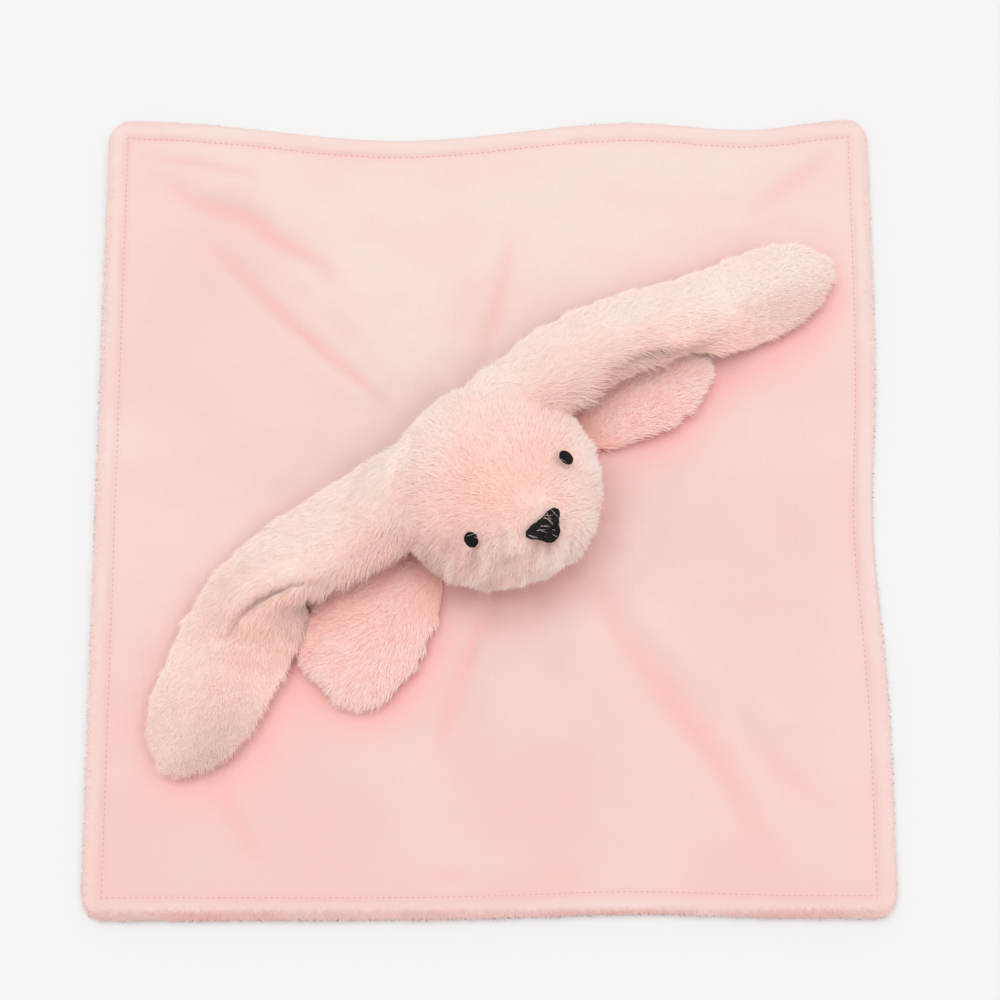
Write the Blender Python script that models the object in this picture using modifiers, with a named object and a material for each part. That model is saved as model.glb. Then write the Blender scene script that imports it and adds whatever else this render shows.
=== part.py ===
"""Comfort blanket with a plush rabbit's head, ears and arms, lying flat with its face up.

Two square cloth panels are sewn together with a topstitch along the edge. The stuffed head is
sewn to the middle of the front panel, turned towards one corner. The ears are sewn to the head
and the arms to the blanket beside the neck. Lengths are in metres, +Z is up, and the origin is
the middle of the blanket's underside.
"""

import math

import bmesh
import bpy
from mathutils import Vector

# Clearances between pieces
SEW_GAP = 0.0003
SEAM_GAP = 0.0006
STUFFING_GAP = 0.0008
EAR_ARM_GAP = 0.0016
CUT_OVERRUN = 0.004
TINY_SHARE = 1e-4

# Blanket
BLANKET_WIDTH = 0.333
BLANKET_LENGTH = 0.345
BACK_THICKNESS = 0.0027
FRONT_THICKNESS = 0.0027
HEM_WIDTH = 0.0085
HEM_PUFF = 0.0011
HEM_SHOULDER = 0.015
TOP_SAG = 0.0095
TOP_DIP = 0.0050
SIDE_SAG = 0.0040
BOTTOM_SAG = 0.0020
SIDE_STEPS = 12
CORNER_HOLD_POWER = 8
INNER_RING_SHARES = (0.89, 0.77, 0.65, 0.54, 0.44, 0.35, 0.26, 0.17, 0.09)
BACK_RING_SHARES = (0.5,)

# Each sag of an edge: its middle and half width as shares of half the side, and its depth
TOP_SAG_SHARES = ((-0.23, 0.42, TOP_SAG), (0.69, 0.22, TOP_DIP))
RIGHT_SAG_SHARES = ((-0.07, 0.30, SIDE_SAG),)
BOTTOM_SAG_SHARES = ((0.35, 0.30, BOTTOM_SAG),)

# Threads
THREAD_RADIUS = 0.00035
NECK_THREAD_RADIUS = 0.00045
NECK_THREAD_OFFSET = 0.0019
STITCH_RECESS_SHARE = 0.45

# Folds that run out from the neck. Each has its angle at both ends in degrees, where it starts
# and ends as shares of half the blanket's width, and its height as a share of FOLD_HEIGHT.
FOLD_HEIGHT = 0.0052
FOLD_HALF_WIDTH = 0.0115
FOLD_END_POWER = 0.7
FOLD_SHARES = (
    (129, 131, 0.42, 1.00, 0.80),
    (145, 140, 0.42, 0.98, 1.00),
    (106, 98, 0.50, 0.85, 0.60),
    (76, 79, 0.78, 0.98, 0.40),
    (-22, -39, 0.42, 1.15, 1.00),
    (-62, -59, 0.45, 1.10, 0.80),
    (-91, -95, 0.70, 1.00, 0.75),
    (-127, -121, 1.00, 1.20, 0.55),
    (8, 14, 0.80, 0.98, 0.35),
    (172, 176, 0.86, 0.99, 0.35),
)

# The rabbit's place on the blanket and its turn: its chin looks along its own -Y
NECK_X = 0.0035
NECK_Y = 0.0010
RABBIT_TURN = math.radians(41.3)

# Head
HEAD_RADIUS = 0.0450
HEAD_CROWN = 0.0340
HEAD_CHEEK = 0.0225
NECK_RADIUS = 0.0300
CHEEK_POWER = 1.8
COVER_THICKNESS = 0.0040
BASE_THICKNESS = 0.0025
RIM_ANGLE = math.radians(135)
SMALL_ANGLE = math.radians(1)
BASE_FLAT_SHARE = 1.5
GUSSET_CROWN_HALF = 0.0150
GUSSET_NOSE_HALF = 0.0095
MUZZLE_RISE = 0.0035
MUZZLE_SPREAD = 0.0200
MUZZLE_FORWARD = 0.0310
MUZZLE_PUSH_SHARES = (0, -0.6, 0.8)
HEAD_SEGMENTS = 32
HEAD_RINGS = 12

# Eyes and nose, embroidered on the cover
EYE_SPACING = 0.0500
EYE_FORWARD = 0.0130
EYE_LENGTH = 0.0075
EYE_WIDTH = 0.0062
NOSE_FORWARD = 0.0275
NOSE_WIDTH = 0.0165
NOSE_LENGTH = 0.0105
NOSE_CORNERS = 3
NOSE_CORNER_SHARE = 0.22
EYE_STEPS = 12
NOSE_STEPS = 18
EMBROIDERY_THICKNESS = 0.0010

# Arms
ARM_ROOT_OFFSET = 0.0065
ARM_REACH = 0.1080
ARM_WIDTH = 0.0420
ARM_THICKNESS = 0.0150
ARM_SEAM_SHARE = 0.38
ARM_PANEL = 0.0018
LEFT_ARM_ANGLE = math.radians(7)
RIGHT_ARM_ANGLE = math.radians(2)
ARM_ROOT_WIDTH_SHARE = 0.62
ARM_ROOT_THICKNESS_SHARE = 0.58
ARM_FULL_SHARE = 0.65
ARM_END_POWER = 3.2
ARM_UNDER_POWER = 0.5
ARM_SEGMENTS = 16
ARM_RINGS = 12

# Ears
EAR_LENGTH = 0.1520
EAR_WIDTH = 0.0470
EAR_PANEL = 0.0034
EAR_FOLD_RADIUS = 0.0042
EAR_ROOT_OUT = 0.0320
EAR_ROOT_BACK = 0.0285
EAR_ROOT_LIFT = 0.0120
EAR_TIP_ROUND_SHARE = 0.20
EAR_TIP_LEAST_SHARE = 0.05
EAR_LEAST_FLAT_SHARE = 0.25
EAR_STEPS = 15
EAR_ACROSS = 5
EAR_BEND_STEPS = 4
EAR_UNDER_STEPS = 2
EAR_SEAM_ANGLE = math.radians(41)
EAR_HINGE_OUT = 0.0440
EAR_HINGE_ABOVE_EQUATOR = 0.0110

# Head tip
TIP_FORWARD = 0.0340

BLANKET_TOP = BACK_THICKNESS + SEW_GAP + FRONT_THICKNESS
HEAD_BASE = BLANKET_TOP + SEW_GAP
HEAD_EQUATOR = HEAD_BASE + HEAD_CHEEK
LIMB_REST = BLANKET_TOP + SEW_GAP
ARM_ROOT = NECK_RADIUS + ARM_ROOT_OFFSET

# Each ear's tables run from root to tip, with the places as shares of EAR_LENGTH
EAR_PLACE_SHARES = (0.0, 0.15, 0.30, 0.40, 0.50, 0.62, 0.76, 1.0)

# For each ear: its headings in degrees, its upper half and its fold line as shares of
# EAR_WIDTH from the middle line, the turned part as shares of EAR_WIDTH, the fold's angle
# in degrees, and how far the ear rides up over the arm and its outer edge over the blanket.
LEFT_EAR = {
    "headings": (172, 173, 177, 188, 199, 204, 203, 201),
    "upper_shares": (0.34, 0.36, 0.40, 0.42, 0.46, 0.48, 0.47, 0.42),
    "fold_shares": (0.38, 0.35, 0.27, 0.14, 0.02, 0.0, 0.0, 0.0),
    "turned_shares": (0.26, 0.30, 0.38, 0.46, 0.52, 0.53, 0.50, 0.43),
    "fold_angles": (178, 178, 162, 100, 45, 14, 6, 4),
    "arm_shares": (0.95, 0.95, 0.80, 0.42, 0.12, 0.0, 0.0, 0.0),
    "edge_shares": (1.0, 0.75, 0.35, 0.15, 0.05, 0.0, 0.0, 0.0),
}
RIGHT_EAR = {
    "headings": (-1, -8, -18, -27, -30, -22, -20, -26),
    "upper_shares": (0.27, 0.30, 0.30, 0.30, 0.31, 0.36, 0.39, 0.40),
    "fold_shares": (0.36, 0.36, 0.33, 0.33, 0.29, 0.16, 0.0, 0.0),
    "turned_shares": (0.24, 0.24, 0.26, 0.28, 0.32, 0.38, 0.46, 0.44),
    "fold_angles": (178, 176, 162, 138, 106, 44, 8, 4),
    "arm_shares": (1.0, 1.0, 1.0, 1.0, 0.85, 0.22, 0.0, 0.0),
    "edge_shares": (1.0, 0.75, 0.45, 0.30, 0.15, 0.0, 0.0, 0.0),
}

PLUSH_PINK = (0.93, 0.66, 0.60)
CLOTH_PINK = (0.95, 0.72, 0.70)
THREAD_PINK = (0.90, 0.62, 0.60)
STUFFING_WHITE = (0.93, 0.93, 0.91)
EMBROIDERY_BLACK = (0.012, 0.012, 0.014)


def clear_scene():
    """Remove every object of the scene that the file opens with."""
    for thing in list(bpy.data.objects):
        bpy.data.objects.remove(thing, do_unlink=True)


def new_collection(name):
    """Make a collection and link it to the scene."""
    made = bpy.data.collections.new(name)
    bpy.context.scene.collection.children.link(made)
    return made


def new_material(name, colour, roughness):
    """Make a plain cloth, thread or filling material."""
    made = bpy.data.materials.new(name)
    made.use_nodes = True
    shader = made.node_tree.nodes["Principled BSDF"]
    shader.inputs["Base Color"].default_value = (*colour, 1.0)
    shader.inputs["Roughness"].default_value = roughness
    shader.inputs["Metallic"].default_value = 0.0
    return made


def add_object(name, data, colour, parent=None, shift=None):
    """Put a mesh or curve in the blanket's collection, in its own material."""
    made = bpy.data.objects.new(name, data)
    PARTS.objects.link(made)
    data.materials.append(new_material(name, colour, 0.9))
    if parent is not None:
        made.parent = parent
        made.location = -shift
    return made


def add_empty(name, place, parent=None, parent_place=None):
    """An empty that carries the pieces of one body, on that body's joint axis."""
    made = bpy.data.objects.new(name, None)
    PARTS.objects.link(made)
    made.location = place
    if parent is not None:
        made.parent = parent
        made.location = place - parent_place
    return made


def mesh_from(name, bm):
    """Turn a bmesh into a smooth-shaded mesh with its faces pointing the right way."""
    data = bpy.data.meshes.new(name)
    bm.to_mesh(data)
    bm.free()
    data.shade_smooth()
    return data


def add_wall(piece, thickness, offset):
    """Give an open surface its thickness: offset 1 grows outwards and -1 inwards."""
    wall = piece.modifiers.new("wall", "SOLIDIFY")
    wall.thickness = thickness
    wall.offset = offset
    return wall


def cut_away(piece, cutter):
    """Cut a piece back from a larger one."""
    cut = piece.modifiers.new("cut", "BOOLEAN")
    cut.operation = "DIFFERENCE"
    cut.solver = "EXACT"
    cut.object = cutter


def between(shares, values, share):
    """Read a table of values at a share of its length, smoothly."""
    for low, high, before, after in zip(shares, shares[1:], values, values[1:]):
        if share <= high:
            step = (share - low) / (high - low)
            return before + (after - before) * step * step * (3 - 2 * step)
    return values[-1]


def sag(share, sags):
    """How far an edge falls in at a share of half its side."""
    return sum(
        depth * math.exp(-(((share - middle) / half) ** 2)) for middle, half, depth in sags
    )


def blanket_point(across, along, inset):
    """A point of the outline drawn in by inset, from its place on the unit square."""
    x = across * (BLANKET_WIDTH / 2 - inset)
    y = along * (BLANKET_LENGTH / 2 - inset)
    free_across = 1 - across**CORNER_HOLD_POWER
    free_along = 1 - along**CORNER_HOLD_POWER
    y -= sag(across, TOP_SAG_SHARES) * free_across * (1 + along) / 2
    y += sag(across, BOTTOM_SAG_SHARES) * free_across * (1 - along) / 2
    x -= sag(along, RIGHT_SAG_SHARES) * free_along * (1 + across) / 2
    return Vector((x, y, 0))


def square_ring(inset):
    """The outline drawn in by inset, with its corners rounded, as one loop of points."""
    ring = []
    for side in range(4):
        for step in range(SIDE_STEPS):
            run = -1 + 2 * step / SIDE_STEPS
            across, along = ((run, -1), (1, run), (-run, 1), (-1, -run))[side]
            point = blanket_point(across, along, inset)
            if step == 0:
                pull = (HEM_WIDTH - inset) * (1 - math.sqrt(0.5))
                point -= Vector((across, along, 0)) * max(pull, 0)
            ring.append(point)
    return ring


def fold_height(point):
    """How far the cloth is lifted off the table by the folds that run out from the neck."""
    out = point - Vector((NECK_X, NECK_Y, 0))
    distance = out.length
    if distance < NECK_RADIUS:
        return 0.0
    angle = math.atan2(out.y, out.x)
    lift = 0.0
    for first, last, start, end, height in FOLD_SHARES:
        share = distance / (BLANKET_WIDTH / 2)
        if not start < share < end:
            continue
        run = (share - start) / (end - start)
        middle = math.radians(first + (last - first) * run)
        turn = (angle - middle + math.pi) % (2 * math.pi) - math.pi
        across = turn * distance / FOLD_HALF_WIDTH
        swelling = math.sin(math.pi * run) ** FOLD_END_POWER
        lift += height * FOLD_HEIGHT * swelling * math.exp(-across * across)
    return lift


def cloth_rings(inner_shares):
    """The rings of a blanket panel, from its edge through the hem in to the neck."""
    rings = [square_ring(inset) for inset in (0, HEM_WIDTH / 2, HEM_WIDTH, HEM_SHOULDER)]
    neck = Vector((NECK_X, NECK_Y, 0))
    rings += [[neck + (point - neck) * share for point in rings[3]] for share in inner_shares]
    return rings


def lofted_cloth(rings, level, lift):
    """Join the rings of a panel, closed with a fan over the neck, as one open surface."""
    bm = bmesh.new()
    loops = []
    for ring in rings:
        loops.append([bm.verts.new((p.x, p.y, level + lift(p))) for p in ring])
    count = len(rings[0])
    for outer, inner in zip(loops, loops[1:]):
        for here in range(count):
            after = (here + 1) % count
            bm.faces.new((outer[here], outer[after], inner[after], inner[here]))
    middle = bm.verts.new((NECK_X, NECK_Y, level))
    for here in range(count):
        bm.faces.new((loops[-1][here], loops[-1][(here + 1) % count], middle))
    return bm


def make_front_panel():
    """The upper cloth, with its main folds and the puffed border outside the topstitch."""
    rings = cloth_rings(INNER_RING_SHARES)
    bm = lofted_cloth(rings, BACK_THICKNESS + SEW_GAP, fold_height)
    bm.verts.ensure_lookup_table()
    count = len(rings[0])
    for place, vert in enumerate(bm.verts[: 4 * count]):
        vert.co.z = BACK_THICKNESS + SEW_GAP
        if place // count == 1:
            vert.co.z += HEM_PUFF
    data = mesh_from("blanket_front_panel", bm)
    add_wall(add_object("blanket_front_panel", data, CLOTH_PINK), FRONT_THICKNESS, 1)


def make_back_panel():
    """The lower cloth, flat on what it lies on, and thinner where the topstitch draws it in."""
    rings = cloth_rings(BACK_RING_SHARES)
    bm = lofted_cloth(rings, BACK_THICKNESS, lambda point: 0)
    piece = add_object("blanket_back_panel", mesh_from("blanket_back_panel", bm), CLOTH_PINK)
    count = len(rings[0])
    full = piece.vertex_groups.new(name="full_thickness")
    stitched = range(2 * count, 3 * count)
    rest = [v.index for v in piece.data.vertices if v.index not in stitched]
    full.add(rest, 1.0, "REPLACE")
    wall = add_wall(piece, BACK_THICKNESS, -1)
    wall.vertex_group = "full_thickness"
    wall.thickness_vertex_group = STITCH_RECESS_SHARE


def make_thread(name, points, radius):
    """A closed loop of sewing thread."""
    data = bpy.data.curves.new(name, "CURVE")
    data.dimensions = "3D"
    data.bevel_depth = radius
    data.bevel_resolution = 0
    spline = data.splines.new("POLY")
    spline.points.add(len(points) - 1)
    for place, point in zip(spline.points, points):
        place.co = (*point, 1)
    spline.use_cyclic_u = True
    return add_object(name, data, THREAD_PINK)


def make_topstitch():
    """The two threads of the topstitch, one on each face of the blanket."""
    above = BLANKET_TOP + SEW_GAP + THREAD_RADIUS
    below = BACK_THICKNESS * (1 - STITCH_RECESS_SHARE) - SEW_GAP - THREAD_RADIUS
    for name, level in (("topstitch_upper_thread", above), ("topstitch_lower_thread", below)):
        make_thread(name, [(p.x, p.y, level) for p in square_ring(HEM_WIDTH)], THREAD_RADIUS)


def make_neck_thread(parent, shift):
    """The ring of thread that closes the neck seam on the front panel."""
    reach = NECK_RADIUS + NECK_THREAD_OFFSET
    turns = [math.tau * step / HEAD_SEGMENTS for step in range(HEAD_SEGMENTS)]
    level = BLANKET_TOP + SEW_GAP + NECK_THREAD_RADIUS
    points = [(reach * math.cos(turn), reach * math.sin(turn), level) for turn in turns]
    ring = make_thread("neck_seam_thread", points, NECK_THREAD_RADIUS)
    ring.parent = parent
    ring.location = -shift


def swell(point):
    """Push the head's surface out where the muzzle is."""
    rise = HEAD_CROWN * math.sqrt(1 - (MUZZLE_FORWARD / HEAD_RADIUS) ** 2)
    muzzle = Vector((0, -MUZZLE_FORWARD, HEAD_EQUATOR + rise))
    push = MUZZLE_RISE * math.exp(-((point - muzzle).length / MUZZLE_SPREAD) ** 2)
    return point + Vector(MUZZLE_PUSH_SHARES) * push


def head_profile(angle):
    """The head's reach and height at an angle from its top, down to the neck's rim."""
    quarter = math.pi / 2
    if angle <= quarter:
        return HEAD_RADIUS * math.sin(angle), HEAD_EQUATOR + HEAD_CROWN * math.cos(angle)
    down = (angle - quarter) / (RIM_ANGLE - quarter)
    reach = NECK_RADIUS + (HEAD_RADIUS - NECK_RADIUS) * (1 - down**CHEEK_POWER)
    return reach, HEAD_EQUATOR - HEAD_CHEEK * down


def head_point(unit, grow, floor):
    """The head's surface grown outwards, at a point of the unit sphere."""
    angle = math.acos(max(-1, min(1, unit.z)))
    turn = math.atan2(unit.y, unit.x)
    if angle <= RIM_ANGLE + SMALL_ANGLE:
        reach, level = head_profile(angle)
        before = head_profile(max(0, angle - SMALL_ANGLE))
        after = head_profile(angle + SMALL_ANGLE)
        slope = Vector((after[0] - before[0], after[1] - before[1])).normalized()
        reach = max(0, reach - slope.y * grow)
        level += slope.x * grow
    else:
        below = (angle - RIM_ANGLE) / (math.pi - RIM_ANGLE)
        reach = (NECK_RADIUS + grow) * min(1, BASE_FLAT_SHARE * (1 - below))
        level = floor
    level = max(level, floor)
    return swell(Vector((reach * math.cos(turn), reach * math.sin(turn), level)))


def head_surface(grow, floor, closed):
    """The head's whole closed form, or only the open dome down to the neck's rim."""
    bm = bmesh.new()
    bmesh.ops.create_uvsphere(
        bm, u_segments=HEAD_SEGMENTS, v_segments=HEAD_RINGS, radius=HEAD_RADIUS
    )
    if not closed:
        rim = HEAD_RADIUS * math.cos(RIM_ANGLE + SMALL_ANGLE * 2)
        low = [vert for vert in bm.verts if vert.co.z < rim]
        bmesh.ops.delete(bm, geom=low, context="VERTS")
    for vert in bm.verts:
        vert.co = head_point(vert.co.normalized(), grow, floor)
    return bm


def seam_plane(side, gap):
    """A point and the outward normal of the seam between the gusset and one cheek."""
    crown = Vector((GUSSET_CROWN_HALF, HEAD_RADIUS, 0))
    nose = Vector((GUSSET_NOSE_HALF, -HEAD_RADIUS, 0))
    run = (crown - nose).normalized()
    normal = Vector((run.y * side, -run.x, 0))
    return Vector((nose.x * side, nose.y, 0)) + normal * gap, normal


def keep_side(bm, place, normal, inside):
    """Cut an open surface along a plane and keep one side of it."""
    geometry = bm.verts[:] + bm.edges[:] + bm.faces[:]
    bmesh.ops.bisect_plane(
        bm,
        geom=geometry,
        dist=SEW_GAP * TINY_SHARE,
        plane_co=place,
        plane_no=normal,
        clear_outer=inside,
        clear_inner=not inside,
    )


def make_head(parent, shift):
    """The cover's two cheeks and gusset, the base panel and the stuffing."""
    for name, side in (("head_left_cheek_panel", -1), ("head_right_cheek_panel", 1)):
        bm = head_surface(0, HEAD_BASE, False)
        keep_side(bm, *seam_plane(side, SEAM_GAP / 2), False)
        cheek = add_object(name, mesh_from(name, bm), PLUSH_PINK, parent, shift)
        add_wall(cheek, COVER_THICKNESS, -1)
    bm = head_surface(0, HEAD_BASE, False)
    for side in (-1, 1):
        keep_side(bm, *seam_plane(side, -SEAM_GAP / 2), True)
    name = "head_centre_gusset"
    add_wall(add_object(name, mesh_from(name, bm), PLUSH_PINK, parent, shift), COVER_THICKNESS, -1)

    name = "head_base_panel"
    bm = bmesh.new()
    reach = NECK_RADIUS - COVER_THICKNESS - STUFFING_GAP
    bmesh.ops.create_cone(
        bm,
        cap_ends=True,
        segments=HEAD_SEGMENTS,
        radius1=reach,
        radius2=reach,
        depth=BASE_THICKNESS,
    )
    bmesh.ops.translate(bm, verts=bm.verts, vec=(0, 0, HEAD_BASE + BASE_THICKNESS / 2))
    add_object(name, mesh_from(name, bm), PLUSH_PINK, parent, shift)

    name = "head_stuffing"
    bm = head_surface(
        -COVER_THICKNESS - STUFFING_GAP, HEAD_BASE + BASE_THICKNESS + SEW_GAP, True
    )
    add_object(name, mesh_from(name, bm), STUFFING_WHITE, parent, shift)


def face_point(x, y):
    """The point of the head's upper surface over a place in plan."""
    rise = HEAD_CROWN * math.sqrt(1 - (x * x + y * y) / HEAD_RADIUS**2)
    return swell(Vector((x, y, HEAD_EQUATOR + rise)))


def make_patch(name, outline, parent, shift):
    """A raised pad of satin stitches, lying on the head's upper surface."""
    bm = bmesh.new()
    middle = sum(outline, Vector((0, 0))) / len(outline)
    centre = bm.verts.new(face_point(*middle))
    rim = [bm.verts.new(face_point(*place)) for place in outline]
    for here, vert in enumerate(rim):
        bm.faces.new((centre, vert, rim[(here + 1) % len(rim)]))
    bm.normal_update()
    for vert in bm.verts:
        vert.co += vert.normal * SEW_GAP
    pad = add_object(name, mesh_from(name, bm), EMBROIDERY_BLACK, parent, shift)
    add_wall(pad, EMBROIDERY_THICKNESS, 1)


def make_face(parent, shift):
    """The two oval eyes and the nose, a triangle with round corners."""
    for name, side in (("eye_left", -1), ("eye_right", 1)):
        outline = []
        for step in range(EYE_STEPS):
            turn = math.tau * step / EYE_STEPS
            x = side * EYE_SPACING / 2 + EYE_WIDTH / 2 * math.cos(turn)
            y = -EYE_FORWARD + EYE_LENGTH / 2 * math.sin(turn)
            outline.append(Vector((x, y)))
        make_patch(name, outline, parent, shift)
    outline = []
    for step in range(NOSE_STEPS):
        turn = math.tau * step / NOSE_STEPS
        reach = 1 - NOSE_CORNER_SHARE * math.cos(NOSE_CORNERS * (turn - math.pi / 2))
        x = NOSE_WIDTH / 2 * reach * math.cos(turn)
        y = -NOSE_FORWARD + NOSE_LENGTH / 2 * reach * math.sin(turn)
        outline.append(Vector((x, y)))
    make_patch("nose", outline, parent, shift)


def arm_point(unit, side, inset):
    """The arm's padded form drawn in by inset: the unit sphere's Z pole is the arm's tip."""
    share = (unit.z + 1) / 2
    ring = math.hypot(unit.x, unit.y)
    round_end = max(0, 1 - abs(unit.z) ** ARM_END_POWER) ** (1 / ARM_END_POWER)
    grow = between((0, ARM_FULL_SHARE, 1), (0, 1, 1), share)
    width = ARM_ROOT_WIDTH_SHARE + (1 - ARM_ROOT_WIDTH_SHARE) * grow
    height = ARM_ROOT_THICKNESS_SHARE + (1 - ARM_ROOT_THICKNESS_SHARE) * grow
    half = max(0, ARM_WIDTH / 2 * width * round_end - inset)
    seam = LIMB_REST + ARM_THICKNESS * ARM_SEAM_SHARE * height
    top = max(0, ARM_THICKNESS * (1 - ARM_SEAM_SHARE) * height * round_end - inset)
    bottom = max(0, ARM_THICKNESS * ARM_SEAM_SHARE * height - inset)
    across, up = (unit.x / ring, unit.y / ring) if ring > TINY_SHARE else (0, 0)
    along = ARM_ROOT + inset + (ARM_REACH - ARM_ROOT - 2 * inset) * share
    level = seam + (top * up if up > 0 else -bottom * abs(up) ** ARM_UNDER_POWER * round_end)
    heading = math.pi + LEFT_ARM_ANGLE if side < 0 else -RIGHT_ARM_ANGLE
    forward = Vector((math.cos(heading), math.sin(heading), 0))
    sideways = Vector((-forward.y, forward.x, 0))
    return forward * along + sideways * (half * across) + Vector((0, 0, level))


def arm_surface(side, inset, half):
    """The arm's closed form, or only its upper or lower half as an open surface."""
    bm = bmesh.new()
    bmesh.ops.create_uvsphere(
        bm, u_segments=ARM_SEGMENTS, v_segments=ARM_RINGS, radius=ARM_WIDTH
    )
    edge = ARM_WIDTH * TINY_SHARE
    away = [vert for vert in bm.verts if half and vert.co.y * half < -edge]
    bmesh.ops.delete(bm, geom=away, context="VERTS")
    for vert in bm.verts:
        vert.co = arm_point(vert.co.normalized(), side, inset)
        vert.co.z += half * SEW_GAP / 2
    return bm


def shell_between(outer, inner):
    """Join an open surface to the same surface drawn in, as one closed shell."""
    outer.verts.index_update()
    inner.verts.ensure_lookup_table()
    lining = [outer.verts.new(vert.co) for vert in inner.verts]
    faces = list(outer.faces)
    rim = [edge.link_loops[0] for edge in outer.edges if edge.is_boundary]
    rim = [(loop.vert, loop.link_loop_next.vert) for loop in rim]
    for face in faces:
        outer.faces.new([lining[vert.index] for vert in reversed(face.verts)])
    for here, after in rim:
        outer.faces.new((after, here, lining[here.index], lining[after.index]))
    inner.free()
    return outer


def make_arm(word, side, parent, shift):
    """One arm: an upper and a lower panel sewn round its edge, over stuffing."""
    for layer, half in (("top", 1), ("under", -1)):
        name = f"arm_{word}_{layer}_panel"
        bm = shell_between(arm_surface(side, 0, half), arm_surface(side, ARM_PANEL, half))
        add_object(name, mesh_from(name, bm), PLUSH_PINK, parent, shift)
    name = f"arm_{word}_stuffing"
    bm = arm_surface(side, ARM_PANEL + STUFFING_GAP, 0)
    add_object(name, mesh_from(name, bm), STUFFING_WHITE, parent, shift)


def face_outwards(bm, upward):
    """Turn an open surface's faces so that on the whole they look up, or down."""
    bm.normal_update()
    if sum(face.normal.z * face.calc_area() for face in bm.faces) * upward < 0:
        bmesh.ops.reverse_faces(bm, faces=bm.faces)


def ear_path(ear, side):
    """The ear's middle line in plan, as (place, heading) at each step from root to tip."""
    place = Vector((side * EAR_ROOT_OUT, EAR_ROOT_BACK, 0))
    path = []
    for step in range(EAR_STEPS + 1):
        share = step / EAR_STEPS
        heading = math.radians(between(EAR_PLACE_SHARES, ear["headings"], share))
        path.append((place.copy(), heading))
        place += Vector((math.cos(heading), math.sin(heading), 0)) * (EAR_LENGTH / EAR_STEPS)
    return path


def tip_round(share):
    """How the ear's width closes in to its round tip."""
    past = max(0, share - (1 - EAR_TIP_ROUND_SHARE)) / EAR_TIP_ROUND_SHARE
    return math.sqrt(max(EAR_TIP_LEAST_SHARE, 1 - past * past))


def ear_section(ear, share):
    """The ear's middle surface across one place, as (across, height) pairs.

    It runs from the outer edge to the fold line, round the fold and out along the turned part.
    """
    def read(key):
        return between(EAR_PLACE_SHARES, ear[key], share)

    width = EAR_WIDTH * tip_round(share)
    line = read("fold_shares") * width
    upper = read("upper_shares") * width
    turned = read("turned_shares") * width
    angle = math.radians(read("fold_angles"))
    bend = EAR_FOLD_RADIUS
    section = []
    for step in range(EAR_BEND_STEPS + 1):
        turn = angle * step / EAR_BEND_STEPS
        section.append((line + bend * math.sin(turn), bend * (math.cos(turn) - 1)))
    flat = max(turned - bend * angle, bend * EAR_LEAST_FLAT_SHARE)
    last = section[-1]
    for step in range(1, EAR_UNDER_STEPS + 1):
        run = flat * step / EAR_UNDER_STEPS
        section.append((last[0] + run * math.cos(angle), last[1] - run * math.sin(angle)))
    lowest = min(height for across, height in section)
    half_wall = EAR_PANEL + SEW_GAP
    over_arm = (ARM_THICKNESS + EAR_ARM_GAP) * read("arm_shares")
    rest = LIMB_REST + over_arm + half_wall - lowest
    edge = LIMB_REST + half_wall + EAR_ROOT_LIFT * read("edge_shares")
    edge = min(edge, rest)
    outer = []
    for step in range(EAR_ACROSS):
        run = 1 - step / EAR_ACROSS
        slope = run * run * (3 - 2 * run)
        outer.append((line - (line + upper) * run, (edge - rest) * slope))
    return [(across, rest + height) for across, height in outer + section]


def ear_grid(ear, side, offset):
    """The ear's middle surface as an open grid, moved off itself by offset."""
    rows = []
    for step, (place, heading) in enumerate(ear_path(ear, side)):
        sideways = Vector((math.sin(heading), -math.cos(heading), 0)) * side
        section = ear_section(ear, step / EAR_STEPS)
        rows.append([place + sideways * across + Vector((0, 0, z)) for across, z in section])
    bm = bmesh.new()
    last = len(rows[0]) - 1
    bmesh.ops.create_grid(bm, x_segments=last, y_segments=EAR_STEPS, size=EAR_LENGTH / 2)
    for vert in bm.verts:
        column = round((vert.co.x / EAR_LENGTH + 1 / 2) * last)
        row = round((vert.co.y / EAR_LENGTH + 1 / 2) * EAR_STEPS)
        vert.co = rows[row][column]
    face_outwards(bm, 1)
    bm.normal_update()
    for vert in bm.verts:
        vert.co += vert.normal * offset
    return bm


def make_ear(word, ear, side, cutter, parent, shift):
    """One ear: an outer and an inner panel sewn round the edge, with the root folded under."""
    for layer, facing in (("outer", 1), ("inner", -1)):
        name = f"ear_{word}_{layer}_panel"
        bm = ear_grid(ear, side, facing * SEW_GAP / 2)
        panel = add_object(name, mesh_from(name, bm), PLUSH_PINK, parent, shift)
        add_wall(panel, EAR_PANEL, facing)
        cut_away(panel, cutter)


def make_cutter(rabbit):
    """The head's form grown by a clearance, to cut the ears' roots back from it."""
    name = "ear_root_cutter"
    form = head_surface(SEW_GAP, -CUT_OVERRUN, True)
    cutter = bpy.data.objects.new(name, mesh_from(name, form))
    CUTTERS.objects.link(cutter)
    cutter.parent = rabbit
    cutter.hide_render = True
    cutter.display_type = "WIRE"
    return cutter


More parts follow.
